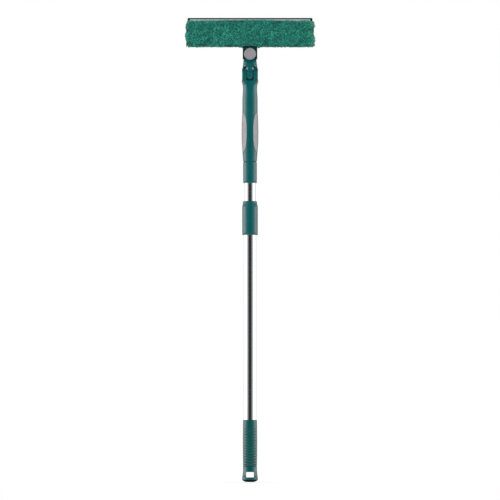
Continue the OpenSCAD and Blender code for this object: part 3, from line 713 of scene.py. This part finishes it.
class SQUEEGEE_OT_grip(bpy.types.Operator):
    """Turn the ribbed rubber grip at the foot of the pole"""

    bl_idname = "squeegee.grip"
    bl_label = "Ribbed grip"

    def execute(self, context):
        s = sizes()
        low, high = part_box("grip_sleeve")
        length = high.z - low.z
        bore = radius_of("outer_tube") + 0.1 * MM
        crown = 0.4 * MM
        ends = high.x - crown

        def skin(z):
            return ends + crown * math.sin(math.pi * (z - low.z) / length)

        rounding, rib_crown = 0.2 * MM, 0.04 * MM
        corners = [
            (bore, low.z, 0),
            (skin(low.z) - 0.5 * MM, low.z, 0),
            (skin(low.z), low.z + 0.6 * MM, 0.3 * MM),
        ]
        for i in range(s.groove_count):
            z = low.z + s.groove_start + i * s.groove_pitch
            floor = skin(z) - s.groove_depth
            corners += [
                (skin(z), z, rounding),
                (floor, z + s.groove_width * 0.3, rounding),
                (floor, z + s.groove_width * 0.7, rounding),
                (skin(z), z + s.groove_width, rounding),
            ]
            middle = z + (s.groove_width + s.groove_pitch) / 2
            if i < s.groove_count - 1:
                corners.append((skin(middle) + rib_crown, middle, 1.6 * MM))
        corners += [
            (skin(high.z - 1 * MM), high.z - 1.2 * MM, 0.6 * MM),
            (skin(high.z) - 0.9 * MM, high.z, 0.3 * MM),
            (bore, high.z, 0),
        ]
        piece = turned("grip_ribs", corners, segments=112, steps=3)
        fit(piece, "grip_rubber", "pole", "teal_grip", "grip_sleeve")
        return {"FINISHED"}


class SQUEEGEE_OT_tubes(bpy.types.Operator):
    """Turn both tubes, and finish the bush and the collet that run between them"""

    bl_idname = "squeegee.tubes"
    bl_label = "Tubes"

    def execute(self, context):
        wall, edge = 0.8 * MM, 0.25 * MM
        tubes = (("outer_tube", "pole", "tube_outer"), ("inner_tube", "mast", "tube_inner"))
        for node, body, name in tubes:
            low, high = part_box(node)
            corners = [
                (high.x - wall, low.z, 0),
                (high.x - edge, low.z, 0),
                (high.x, low.z + edge, 0),
                (high.x, high.z - edge, 0),
                (high.x - edge, high.z, 0),
                (high.x - wall, high.z, 0),
            ]
            fit(turned(name, corners), "tube_aluminium", body, "polished_tube", node)
        dress("white_nylon_moulding", "glide_bush")
        dress("black_nylon_moulding", "collet")
        return {"FINISHED"}


class SQUEEGEE_OT_collar(bpy.types.Operator):
    """Turn the twist collar that locks the two tubes"""

    bl_idname = "squeegee.collar"
    bl_label = "Locking collar"

    def execute(self, context):
        low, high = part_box("lock_collar")
        loose = 0.3 * MM
        chamber = radius_of("collet") + loose
        foot_bore = radius_of("outer_tube") + loose
        top_bore = radius_of("inner_tube") + loose
        chamber_foot, chamber_top = low.z + 5 * MM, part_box("collet")[1].z + 1 * MM
        wide = high.x
        groove = wide - 0.45 * MM
        corners = [
            (foot_bore, low.z + 0.5 * MM, 0),
            (foot_bore + 0.5 * MM, low.z, 0.2 * MM),
            (wide - 0.9 * MM, low.z, 0.8 * MM),
            (wide, low.z + 1.3 * MM, 0.9 * MM),
            (wide, low.z + 3.0 * MM, 0.2 * MM),
            (groove, low.z + 3.3 * MM, 0.15 * MM),
            (groove, low.z + 3.8 * MM, 0.15 * MM),
            (wide, low.z + 4.1 * MM, 0.2 * MM),
            (wide, high.z - 11.5 * MM, 2 * MM),
            (wide - 1.3 * MM, high.z - 5.4 * MM, 2 * MM),
            (wide - 1.7 * MM, high.z - 1.1 * MM, 0.6 * MM),
            (wide - 2.7 * MM, high.z, 0.4 * MM),
            (top_bore + 0.5 * MM, high.z, 0.2 * MM),
            (top_bore, high.z - 0.5 * MM, 0.2 * MM),
            (top_bore, chamber_top, 0),
            (chamber, chamber_top, 0),
            (chamber, chamber_foot, 0),
            (foot_bore, chamber_foot, 0),
        ]
        piece = turned("twist_collar", corners, segments=144)
        fit(piece, "teal_abs", "collar", "teal_plastic", "lock_collar")
        return {"FINISHED"}


# ---- Handle ----


class SQUEEGEE_OT_connector(bpy.types.Operator):
    """Turn the connector on the inner tube and the screw that enters the handle"""

    bl_idname = "squeegee.connector"
    bl_label = "Pole connector"

    def execute(self, context):
        s = sizes()
        low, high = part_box("pole_connector")
        wide = high.x
        groove = wide - 0.5 * MM
        seam_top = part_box("handle_shell")[0].z
        seam = wide - 1.1 * MM
        core = s.screw_radius - 1 * MM
        shoulder = seam_top - 1.2 * MM
        tube = radius_of("inner_tube") + 0.05 * MM
        tube_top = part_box("inner_tube")[1].z
        bore = s.screw_radius - 4 * MM
        corners = [
            (tube, low.z + 0.6 * MM, 0),
            (tube + 0.6 * MM, low.z, 0.2 * MM),
            (wide - 0.8 * MM, low.z, 0.6 * MM),
            (wide, low.z + 0.9 * MM, 0.7 * MM),
            (wide, low.z + 2.5 * MM, 0.2 * MM),
            (groove, low.z + 2.9 * MM, 0.15 * MM),
            (groove, low.z + 3.5 * MM, 0.15 * MM),
            (wide, low.z + 3.9 * MM, 0.2 * MM),
            (wide, shoulder - 0.5 * MM, 0.3 * MM),
            (wide - 0.5 * MM, shoulder, 0.3 * MM),
            (seam, shoulder, 0),
            (seam, seam_top, 0),
            (core, seam_top, 0.3 * MM),
            (core, high.z - 1 * MM, 0.4 * MM),
            (core - 1 * MM, high.z, 0.3 * MM),
            (bore, high.z, 0),
            (bore, tube_top, 0),
            (tube, tube_top, 0),
        ]
        piece = turned("connector", corners, segments=144)
        fit(piece, "teal_abs", "mast", "teal_plastic", "pole_connector")
        plain = 3 * MM
        ridge = build("connector_thread", *self.thread(core, seam_top + plain, high.z - plain))
        fit(ridge, "teal_abs", "mast", "teal_plastic")
        return {"FINISHED"}

    def thread(self, core, foot, top):
        """One round-crested ridge wound up the core, which fades in and out over a third of a turn."""
        crest, pitch = sizes().screw_radius, sizes().screw_pitch
        # Out of the core as a share of the ridge's height, and up as a share of the pitch.
        flank = [(-0.1, -0.34), (0.5, -0.16), (0.86, -0.1)]
        section = flank + [(1, 0)] + [(out, -up) for out, up in reversed(flank)]
        verts, faces = [], []
        steps = 72
        count = int((top - foot) / pitch * steps)
        for i in range(count + 1):
            angle = math.tau * i / steps
            fade = min(1, 3 * i / steps, 3 * (count - i) / steps)
            height = foot + pitch * i / steps
            for out, up in section:
                radius = core + (crest - core) * out * fade - 0.05 * MM
                verts.append((radius * math.cos(angle), radius * math.sin(angle), height + up * pitch))
        wide = len(section)
        for i in range(count):
            for k in range(wide):
                a, b = i * wide + k, i * wide + (k + 1) % wide
                faces.append([a, b, b + wide, a + wide])
        faces += [list(range(wide))[::-1], list(range(count * wide, (count + 1) * wide))]
        return verts, faces


class SQUEEGEE_OT_handle(bpy.types.Operator):
    """Finish the handle's shell, its soft insets and the thread bush in its foot"""

    bl_idname = "squeegee.handle"
    bl_label = "Handle"

    def execute(self, context):
        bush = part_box("thread_insert")
        hollow = (bush[1].x, bush[1].z + 3 * MM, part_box("fold_pin")[0].z - 12 * MM)
        shell = softened("handle_shell", "handle", 0.45 * MM, stretch=(1, 1, 1.6), hollow=hollow)
        fit(shell, "teal_abs", "handle", "teal_plastic", "handle_shell")
        for side in ("left", "right"):
            node = f"grip_inset_{side}"
            inset = softened(node, f"soft_inset_{side}", 0.4 * MM, passes=5, stretch=(1, 1, 1.5))
            fit(inset, "inset_rubber", "handle", "grey_rubber", node)
        dress("black_nylon_moulding", "thread_insert")
        return {"FINISHED"}


class SQUEEGEE_OT_fold_joint(bpy.types.Operator):
    """Finish the pin and nut of the fold joint, and turn the washers pressed between its faces"""

    bl_idname = "squeegee.fold_joint"
    bl_label = "Fold joint"

    def execute(self, context):
        dress("zinc_steel", "fold_pin", "fold_nut")
        low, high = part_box("fold_washers")
        axis = (low.z + high.z) / 2
        # The washers reach up to the ears' tops, and close the hair's breadth of room that the frame
        # leaves on both of their faces.
        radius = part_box("handle_shell")[1].z - axis - 0.2 * MM
        pin_low, pin_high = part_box("fold_pin")
        bore = (pin_high.z - pin_low.z) / 2 + 0.1 * MM
        outer, inner = high.x + 0.3 * MM, self.inner_face() - 0.13 * MM
        thick, edge = outer - inner, 0.1 * MM
        corners = [
            (bore, 0, 0),
            (radius - edge, 0, 0),
            (radius, edge, 0),
            (radius, thick - edge, 0),
            (radius - edge, thick, 0),
            (bore, thick, 0),
        ]
        for side, name in ((-1, "washer_left"), (1, "washer_right")):
            lay = Matrix.Rotation(side * math.pi / 2, 4, "Y")
            washer = turned(name, corners, place=Matrix.Translation((side * inner, 0, axis)) @ lay)
            fit(washer, "black_nylon_moulding", "handle", "black_nylon", "fold_washers")
        return {"FINISHED"}

    def inner_face(self):
        """How far the frame's washers stand from the middle of the joint."""
        return min(abs(vertex.co.x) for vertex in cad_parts["fold_washers"].data.vertices)


class SQUEEGEE_OT_neck(bpy.types.Operator):
    """Finish the neck between the fold joint and the swivel"""

    bl_idname = "squeegee.neck"
    bl_label = "Neck"

    def execute(self, context):
        piece = softened("neck", "neck_piece", 0.34 * MM)
        fit(piece, "teal_abs", "neck", "teal_plastic", "neck")
        # Black strips of painted shade darken the gaps between the ears and the neck.
        self.painted_gap_shade()
        return {"FINISHED"}

    def painted_gap_shade(self):
        """Black strips over the skirt that closes the gap between the neck's shoulder and the ears:
        painted shade, which darkens that gap.
        """
        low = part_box("handle_shell")[1].z + 0.1 * MM
        high = low + sizes().gap_shade_height
        deep, inner, outer = 2.75 * MM, 6.3 * MM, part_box("neck")[1].x - 0.15 * MM
        corner, rounding = 0.5 * MM, 0.2 * MM
        corners = [
            (-deep, low, 0),
            (deep - corner, low, rounding),
            (deep, low + corner, rounding),
            (deep, high, 0),
            (-deep, high, 0),
        ]
        for side, name in ((-1, "gap_shade_left"), (1, "gap_shade_right")):
            place = Matrix.Translation((side * (inner + outer) / 2, 0, 0))
            seal = build(name, *prism(outline(corners), outer - inner), place=place)
            fit(seal, "black_nylon_moulding", "neck", "black_nylon")


# ---- Head ----


class SQUEEGEE_OT_bracket(bpy.types.Operator):
    """Finish the bracket that swivels on the neck, its screws and its rear cover"""

    bl_idname = "squeegee.bracket"
    bl_label = "Swivel bracket"

    def execute(self, context):
        # The bracket's dark teal is painted shade on the handle's teal.
        piece = softened("head_bracket", "swivel_bracket", 0.34 * MM)
        fit(piece, "dark_abs", "head", "dark_plastic", "head_bracket")
        cover = softened("rear_cover", "pivot_cover", 0.26 * MM, passes=5)
        fit(cover, "dark_abs", "head", "dark_plastic", "rear_cover")
        dress("zinc_steel", "swivel_screw", "swivel_nut", "bracket_screws")
        return {"FINISHED"}


class SQUEEGEE_OT_button(bpy.types.Operator):
    """Turn the push button, and finish its plunger and spring"""

    bl_idname = "squeegee.button"
    bl_label = "Button"

    def execute(self, context):
        low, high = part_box("button_cap")
        radius, thick = (high.x - low.x) / 2, high.y - low.y
        corners = [
            (0, 0, 0),
            (radius - 0.2 * MM, 0, 0),
            (radius, 0.2 * MM, 0.1 * MM),
            (radius, thick - 1.4 * MM, 0.5 * MM),
            (radius - 1.5 * MM, thick, 0.5 * MM),
            (radius - 2.2 * MM, thick, 0.2 * MM),
            (radius - 2.6 * MM, thick - 0.35 * MM, 0.2 * MM),
            (radius * 0.5, thick - 0.5 * MM, 2 * MM),
            (0, thick - 0.55 * MM, 0),
        ]
        # Its face looks to the front.
        forward = Matrix.Rotation(math.pi / 2, 4, "X")
        place = Matrix.Translation((0, high.y, (low.z + high.z) / 2)) @ forward
        piece = turned("button", corners, segments=96, closed=False, place=place)
        fit(piece, "button_abs", "button", "grey_plastic", "button_cap")
        dress("black_nylon_moulding", "lock_plunger")
        spring = welded("plunger_spring", "coil_spring")
        fit(spring, "zinc_steel", "button", "steel", "plunger_spring")
        # The spring gets a mesh of its own.
        low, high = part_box("plunger_spring")
        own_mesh(spring)
        return {"FINISHED"}


class SQUEEGEE_OT_head_bar(bpy.types.Operator):
    """Finish the head bar inside the sleeve, its plugs and its hook tapes"""

    bl_idname = "squeegee.head_bar"
    bl_label = "Head bar"

    def execute(self, context):
        dress("dark_abs", "head_bar", "bar_plugs")
        dress("hook_tape_nylon", "hook_tapes")
        return {"FINISHED"}


class SQUEEGEE_OT_sleeve(bpy.types.Operator):
    """Make the washer sleeve: a knitted pocket around the head bar, covered in microfibre tufts"""

    bl_idname = "squeegee.sleeve"
    bl_label = "Washer sleeve"

    def execute(self, context):
        s = sizes()
        low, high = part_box("washer_sleeve")
        self.half = (high.x - low.x) / 2 - s.tuft_length * 0.5
        self.deep = (high.y - low.y) / 2 - s.tuft_length + 0.4 * MM
        self.foot = low.z + 2 * MM
        # The cloth's top comes near the frame's, and its pile stands up beside the blade's channel.
        self.top = high.z - s.tuft_length + 3.6 * MM
        self.middle = (self.top + self.foot) / 2
        self.slit = (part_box("blade_channel")[1].y + 0.4 * MM) / self.deep
        # The hole in the sleeve's underside, around the bracket.
        self.hole_x = s.bracket_width / 2 + s.opening_gap
        self.hole_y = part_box("rear_cover")[0].y + s.opening_gap
        self.hole_z = self.foot + 6 * MM
        pocket = build("sleeve_pocket", *self.pocket(), sharp=60)
        thick = pocket.modifiers.new("cloth", "SOLIDIFY")
        thick.thickness = 1.0 * MM
        thick.offset = -1
        apply_modifiers(pocket)
        smooth(pocket, 60)
        fit(pocket, "sleeve_backing", "head", "microfibre", "washer_sleeve")
        for name, side in (("pile_front", -1), ("pile_back", 1)):
            pile = build(name, *self.tufts(side), sharp=80)
            fit(pile, "microfibre_plush", "head", "microfibre")
            pile.parent = pocket
            pile.matrix_parent_inverse = Matrix.Identity(4)
        return {"FINISHED"}

    def section(self, share, x):
        """Y and Z of the sleeve's round-cornered section, from the slit (0) right around to it (1).
        The top bulges at mid-length, and both ends close in a short curve."""
        end_length, top_bulge, bracket_sag = 7 * MM, 1.8 * MM, 1.1 * MM
        bulge = top_bulge * max(0.0, 1 - (x / (self.half * 0.75)) ** 2)
        from_end = min(1.0, (self.half - abs(x)) / end_length)
        closed = 1 - math.sqrt(max(0.0, 1 - (1 - from_end) ** 2))
        # 1 would be an ellipse, and less is squarer.
        power = 2 / 2.7
        sine, cosine = math.sin(math.tau * share), math.cos(math.tau * share)
        # The cloth hangs square around the bracket, so that it covers the bracket's top.
        near = min(1.0, max(0.0, (self.hole_x + 9 * MM - abs(x)) / (7 * MM))) if cosine < 0 else 0.0
        flank = power * (1 - 0.97 * near)
        y = math.copysign(abs(sine) ** flank, sine) * self.deep * (1 - 0.30 * closed)
        z = math.copysign(abs(cosine) ** power, cosine) * (1 - 0.16 * closed)
        reach = self.middle - self.foot + (bulge if z > 0 else bracket_sag * near)
        return -y, self.middle + z * reach

    def shares(self, count):
        """Shares of the way around the section, leaving the slit over the blade's channel open."""
        start = math.asin(min(1.0, self.slit**1.35)) / math.tau
        return np.linspace(start, 1 - start, count)

    def in_hole(self, x, y, z, margin=0.0):
        """Whether a point is in the opening for the bracket, or closer to its sides than the margin."""
        return z < self.hole_z and abs(x) < self.hole_x + margin and abs(y) < self.hole_y

    def pocket(self):
        """The pocket's outer skin, with the hole for the bracket left out and both ends closed."""
        across, along = 72, 128
        lengths = self.half * np.sin(np.pi / 2 * np.linspace(-1, 1, along))
        shares = self.shares(across)
        verts = [(x, *self.section(share, x)) for x in lengths for share in shares]
        faces = []
        for i in range(along - 1):
            for j in range(across - 1):
                corner = i * across + j
                corners = [corner, corner + 1, corner + across + 1, corner + across]
                if not self.in_hole(*np.mean([verts[k] for k in corners], axis=0)):
                    faces.append(corners)
        for i, order in ((0, 1), (along - 1, -1)):
            ring = [i * across + j for j in range(across)]
            centre = len(verts)
            verts.append((lengths[i] * 1.002, 0, self.middle))
            pairs = zip(ring, ring[1:] + ring[:1])
            faces += [[here, there, centre][::order] for here, there in pairs]
        return verts, faces

    def tufts(self, side):
        """Short bent tufts with blunt tips, rooted on the pocket's front (side -1) or back (side 1).
        Neighbours lean the same way, as a washed pile does."""
        s = sizes()
        rng = np.random.default_rng(17 + side)
        root, out, length = self.roots(side, rng)
        count = len(root)
        # Waves 23 to 103 mm long turn the nap from place to place.
        x, z = root[:, 0:1] / MM, root[:, 2:3] / MM
        swirl = 1.9 * np.sin(x * 0.061 + 1.1) + 1.6 * np.sin(z * 0.13 + x * 0.034)
        swirl = swirl + 1.2 * np.sin(x * 0.17 - z * 0.21)
        along = np.tile([1.0, 0.0, 0.0], (count, 1))
        around = np.cross(out, along)
        nap = along * np.cos(swirl) + around * np.sin(swirl)
        aim = out + 0.45 * nap + rng.normal(0, 0.22, (count, 3))
        aim /= np.linalg.norm(aim, axis=1, keepdims=True)
        bend = 0.35 * nap + rng.normal(0, 0.16, (count, 3)) - [0, 0, 0.1]
        first = np.cross(aim, [0.31, 0.52, 0.79])
        first /= np.linalg.norm(first, axis=1, keepdims=True)
        second = np.cross(aim, first)
        turn = rng.uniform(0, math.tau, (count, 1))
        thick = s.tuft_radius * rng.uniform(0.8, 1.2, (count, 1))
        # Shares of the length, with the tuft's thickness there.
        levels = ((0.0, 0.9), (0.45, 1.0), (0.82, 0.86), (0.97, 0.45))
        rows = []
        for share, wide in levels:
            centre = root + aim * length * share + bend * length * share**2
            for k in range(3):
                angle = turn + k * math.tau / 3
                rows.append(centre + (first * np.cos(angle) + second * np.sin(angle)) * thick * wide)
        rows.append(root + aim * length * 1.02 + bend * length)
        verts = np.stack(rows, axis=1).reshape(-1, 3)
        pattern = []
        for level in range(len(levels) - 1):
            for k in range(3):
                a, b = level * 3 + k, level * 3 + (k + 1) % 3
                pattern.append([a, b, b + 3, a + 3])
        last = 3 * (len(levels) - 1)
        pattern += [[last + k, last + (k + 1) % 3, last + 3] for k in range(3)]
        starts = range(0, len(rows) * count, len(rows))
        faces = [[start + k for k in face] for start in starts for face in pattern]
        return verts.tolist(), faces

    def roots(self, side, rng):
        """Where each tuft starts, the way it stands and its length, as three arrays."""
        s = sizes()
        spots = []
        rows = int(2 * self.half / s.tuft_spacing)
        shares = self.shares(200)
        for i in range(rows):
            x = -self.half + (i + 0.5) * 2 * self.half / rows
            line = np.array([self.section(share, x) for share in shares])
            gone = np.concatenate([[0], np.cumsum(np.hypot(*np.diff(line, axis=0).T))])
            count = int(gone[-1] / s.tuft_spacing)
            # Rows are staggered, and every tuft strays a little from its place.
            steps = (np.arange(count) + 0.5 * (i % 2) + 0.25 + rng.normal(0, 0.12, count)) / count
            places = x + rng.normal(0, 0.18 * s.tuft_spacing, count)
            for step, place in zip(np.clip(steps, 0.001, 0.999), np.clip(places, -self.half, self.half)):
                share = np.interp(step * gone[-1], gone, shares)
                root = np.array([place, *self.section(share, place)])
                if (root[1] > 0) == (side > 0) and not self.in_hole(*root, s.tuft_radius):
                    spots.append((root, self.outward(share, place), self.stand(root)))
        spots += self.end_roots(side)
        root, out, length = (np.array(column) for column in zip(*spots))
        return root, out, length[:, None] * rng.uniform(0.84, 1.14, (len(root), 1))

    def outward(self, share, x):
        """The way out of the sleeve's skin, from a short step along it and one around it."""
        step = 0.002
        inward = -0.5 * MM * math.copysign(1, x)
        here = np.array([x, *self.section(share, x)])
        along = np.array([x + inward, *self.section(share, x + inward)]) - here
        along *= math.copysign(1, inward)
        around = np.array([0, *np.subtract(self.section(share + step, x), self.section(share - step, x))])
        out = np.cross(along, around)
        out /= np.linalg.norm(out)
        return out if out @ (here - [0, 0, self.middle]) > 0 else -out

    def stand(self, root):
        """Length of a tuft: full on the faces, shorter over and under the bar, longer at both ends."""
        under = max(0.0, 1 - (root[2] - self.foot) / (5 * MM))
        under = min(1.0, max(under, 1 - (self.top - root[2]) / (3 * MM)))
        end = max(0.0, 1 - (self.half - abs(root[0])) / (8 * MM))
        return sizes().tuft_length * (1 - 0.35 * under + 0.12 * end)

    def end_roots(self, side):
        """Tufts on the two closed ends of the pocket."""
        s = sizes()
        spots = []
        ring_step = s.tuft_spacing / self.deep / 1.3
        for end in (-1, 1):
            for radius in np.arange(0.12, 1.0, ring_step):
                share_step = s.tuft_spacing / (math.tau * self.deep * 1.6 * radius)
                for share in np.arange(0, 1, share_step):
                    y, z = self.section(share, end * self.half)
                    up = (z - self.middle) * radius
                    root = np.array([end * self.half, y * radius, self.middle + up])
                    # They fan out from the end's middle, more towards the front and back.
                    out = np.array([end, y * radius * 18, up * 8])
                    if (root[1] > 0) == (side > 0):
                        spots.append((root, out / np.linalg.norm(out), s.tuft_length * 0.6))
        return spots


class SQUEEGEE_OT_blade(bpy.types.Operator):
    """Draw the blade channel, the rubber blade and the clips that hold its ends"""

    bl_idname = "squeegee.blade"
    bl_label = "Blade"

    def execute(self, context):
        for node, name, voxel, stretch, finish_name, slot in (
            ("blade_channel", "channel", 0.3, 12, "channel_aluminium", "channel_metal"),
            ("rubber_blade", "wiping_blade", 0.22, 16, "epdm_blade", "blade_rubber"),
            ("end_clips", "blade_clips", 0.24, 1, "dark_abs", "dark_plastic"),
        ):
            piece = softened(node, name, voxel * MM, passes=3, stretch=(stretch, 1, 1))
            fit(piece, finish_name, "head", slot, node)
        return {"FINISHED"}


# ---- Stage ----


class SQUEEGEE_OT_stage(bpy.types.Operator):
    """Set up the pale floor, the soft studio light and the camera"""

    bl_idname = "squeegee.stage"
    bl_label = "Studio"

    def execute(self, context):
        low, high = (Vector(corner) for corner in cad_box)
        self.floor(low.z)
        self.world(context.scene)
        self.lamps(low, high)
        self.camera(context.scene, low, high)
        context.scene.view_settings.view_transform = "Standard"
        return {"FINISHED"}

    def floor(self, height):
        """A white disc that keeps the object's shadow; white to the eye, and to metal and glass apart
        from a painted shade near the foot.
        """
        floor = build("studio_floor", *lathe([(0, height), (FLOOR_RADIUS, height)]))
        material, tree = new_material("matt_white_floor")
        place = add(tree, "TexCoord").outputs["Object"]
        away = add(tree, "VectorMath", {0: place}, operation="LENGTH").outputs["Value"]
        path = add(tree, "LightPath").outputs
        unseen = add(tree, "Math", {0: 1.0, 1: path["Is Camera Ray"]}, operation="SUBTRACT")
        # Painted shade: near the foot the floor turns near black to every ray but the eye's, so that it
        # throws no light back up at the foot's underside, which stays dark.
        near = follow(tree, away, 1.0, 0.0, between=(40 * MM, 140 * MM))
        dark = add(tree, "Math", {0: near, 1: unseen}, operation="MULTIPLY")
        white = colours().floor
        base = add(tree, "Mix", {0: dark, 6: white, 7: shade(white, 0.02)}, data_type="RGBA")
        matt = add(tree, "BsdfPrincipled", {"Base Color": base.outputs[2], "Roughness": 0.9})
        glow = add(tree, "Emission", {"Color": (1, 1, 1, 1), "Strength": 1.0})
        # Close to the foot the floor is left to the lamps, so that the object's shadow stays on it.
        clear = follow(tree, away, 0.25, 1.0, between=(18 * MM, 75 * MM))
        lit = add(tree, "Math", {0: 1.0, 1: dark}, operation="SUBTRACT")
        open_floor = add(tree, "Math", {0: clear, 1: lit}, operation="MULTIPLY")
        # Rays from the eye, from glossy surfaces and through glass see the glow; lighting rays don't.
        seen = add(tree, "Math", {0: path["Is Camera Ray"], 1: path["Is Glossy Ray"]}, operation="ADD")
        through = {0: seen, 1: path["Is Transmission Ray"]}
        seen = add(tree, "Math", through, operation="ADD", use_clamp=True)
        share = add(tree, "Math", {0: seen, 1: open_floor}, operation="MULTIPLY")
        mix = add(tree, "MixShader", {0: share, 1: matt, 2: glow})
        add(tree, "OutputMaterial", {"Surface": mix})
        floor.data.materials.append(material)

    def world(self, scene):
        """White to the eye. Glossy surfaces see a dark front, bright sides and a pale back, all less
        bright above and below than level with the object. The rest is even, low light."""
        world = bpy.data.worlds.new("studio")
        scene.world = world
        world.use_nodes = True
        # Rays that leave a glossy surface find the room by themselves, so no light is sampled from it.
        world.cycles.sampling_method = "NONE"
        tree = world.node_tree
        tree.nodes.clear()
        direction = add(tree, "SeparateXYZ", {0: add(tree, "TexCoord").outputs["Generated"]}).outputs
        across = add(tree, "Math", {0: direction["X"]}, operation="ABSOLUTE")
        toward = add(tree, "Math", {0: direction["Y"], 1: -1.0}, operation="MULTIPLY")
        turn = add(tree, "Math", {0: across, 1: toward}, operation="ARCTAN2")
        height = add(tree, "Math", {0: direction["Z"]}, operation="ABSOLUTE")
        around = self.line(tree, turn, math.pi, ROOM_AROUND)
        most = self.line(tree, height, 1.0, ROOM_UPWARD)
        room = add(tree, "Math", {0: around, 1: most}, operation="MINIMUM")
        # The left side of the room is a little brighter than the right.
        lean = follow(tree, direction["X"], 1.08, 0.88, between=(-1, 1))
        room = add(tree, "Math", {0: room, 1: lean}, operation="MULTIPLY")
        path = add(tree, "LightPath").outputs
        even = add(tree, "Mix", {0: path["Is Glossy Ray"], 2: EVEN_LIGHT, 3: room}, data_type="FLOAT")
        white = add(tree, "Mix", {0: path["Is Camera Ray"], 2: even, 3: 1.0}, data_type="FLOAT")
        sky = add(tree, "Background", {"Color": (1, 1, 1, 1), "Strength": white})
        add(tree, "OutputWorld", {"Surface": sky})

    def line(self, tree, value, reach, stops):
        """A number read off a broken line: each stop is a share of the reach and the number there."""
        most = max(number for share, number in stops)
        share = add(tree, "Math", {0: value, 1: 1 / reach}, operation="MULTIPLY")
        ramp = add(tree, "ValToRGB", {0: share})
        elements = ramp.color_ramp.elements
        for place, number in stops:
            ends = {0: elements[0], 1: elements[-1]}
            element = ends.get(place) or elements.new(place)
            element.color = [number / most] * 3 + [1]
        return add(tree, "Math", {0: ramp, 1: most}, operation="MULTIPLY")

    def lamps(self, low, high):
        """Two wide soft lamps that glossy surfaces don't show: one in front, a weaker one behind."""
        middle = (low + high) / 2
        for name, place, watts in LAMPS:
            data = bpy.data.lights.new(name, "AREA")
            data.shape = "RECTANGLE"
            data.size, data.size_y = LAMP_SIZE
            data.energy = watts
            lamp = bpy.data.objects.new(name, data)
            bpy.context.scene.collection.objects.link(lamp)
            lamp.location = place
            lamp.rotation_euler = (middle - Vector(place)).to_track_quat("-Z", "Y").to_euler()
            lamp.visible_glossy = False
            lamp.visible_camera = False

    def camera(self, scene, low, high):
        """A long lens in front, a little above the floor and aimed at the object's middle."""
        data = bpy.data.cameras.new("camera")
        data.lens = LENS
        data.clip_end = 100
        distance = (high.z - low.z) * VIEW_SHARE * LENS / data.sensor_width
        camera = bpy.data.objects.new("camera", data)
        scene.collection.objects.link(camera)
        aim = Vector((0, 0, (low.z + high.z) / 2 - 0.6 * MM))
        camera.location = (0, -distance, low.z + EYE_HEIGHT)
        camera.rotation_euler = (aim - camera.location).to_track_quat("-Z", "Y").to_euler()
        scene.camera = camera


# ---- Add-on ----


class SQUEEGEE_PT_panel(bpy.types.Panel):
    """Lists the pieces, their sizes and their colours"""

    bl_label = "Window squeegee"
    bl_space_type = "VIEW_3D"
    bl_region_type = "UI"
    bl_category = "Squeegee"

    def draw(self, context):
        for operator in OPERATORS:
            self.layout.operator(operator.bl_idname)
        for group in (sizes(), colours()):
            column = self.layout.column()
            for name in group.bl_rna.properties.keys():
                if name not in ("rna_type", "name"):
                    column.prop(group, name)


OPERATORS = (
    SQUEEGEE_OT_hanging_end,
    SQUEEGEE_OT_grip,
    SQUEEGEE_OT_tubes,
    SQUEEGEE_OT_collar,
    SQUEEGEE_OT_connector,
    SQUEEGEE_OT_handle,
    SQUEEGEE_OT_fold_joint,
    SQUEEGEE_OT_neck,
    SQUEEGEE_OT_bracket,
    SQUEEGEE_OT_button,
    SQUEEGEE_OT_head_bar,
    SQUEEGEE_OT_sleeve,
    SQUEEGEE_OT_blade,
    SQUEEGEE_OT_stage,
)
CLASSES = (SqueegeeColours, SqueegeeSizes, *OPERATORS, SQUEEGEE_PT_panel)


def register():
    for cls in CLASSES:
        bpy.utils.register_class(cls)
    bpy.types.Scene.squeegee_colours = PointerProperty(type=SqueegeeColours)
    bpy.types.Scene.squeegee_sizes = PointerProperty(type=SqueegeeSizes)


def unregister():
    del bpy.types.Scene.squeegee_sizes
    del bpy.types.Scene.squeegee_colours
    for cls in reversed(CLASSES):
        bpy.utils.unregister_class(cls)


def main():
    """Registers the add-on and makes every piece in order."""
    register()
    for operator in OPERATORS:
        group, name = operator.bl_idname.split(".")
        getattr(getattr(bpy.ops, group), name)()


if __name__ == "__main__":
    main()
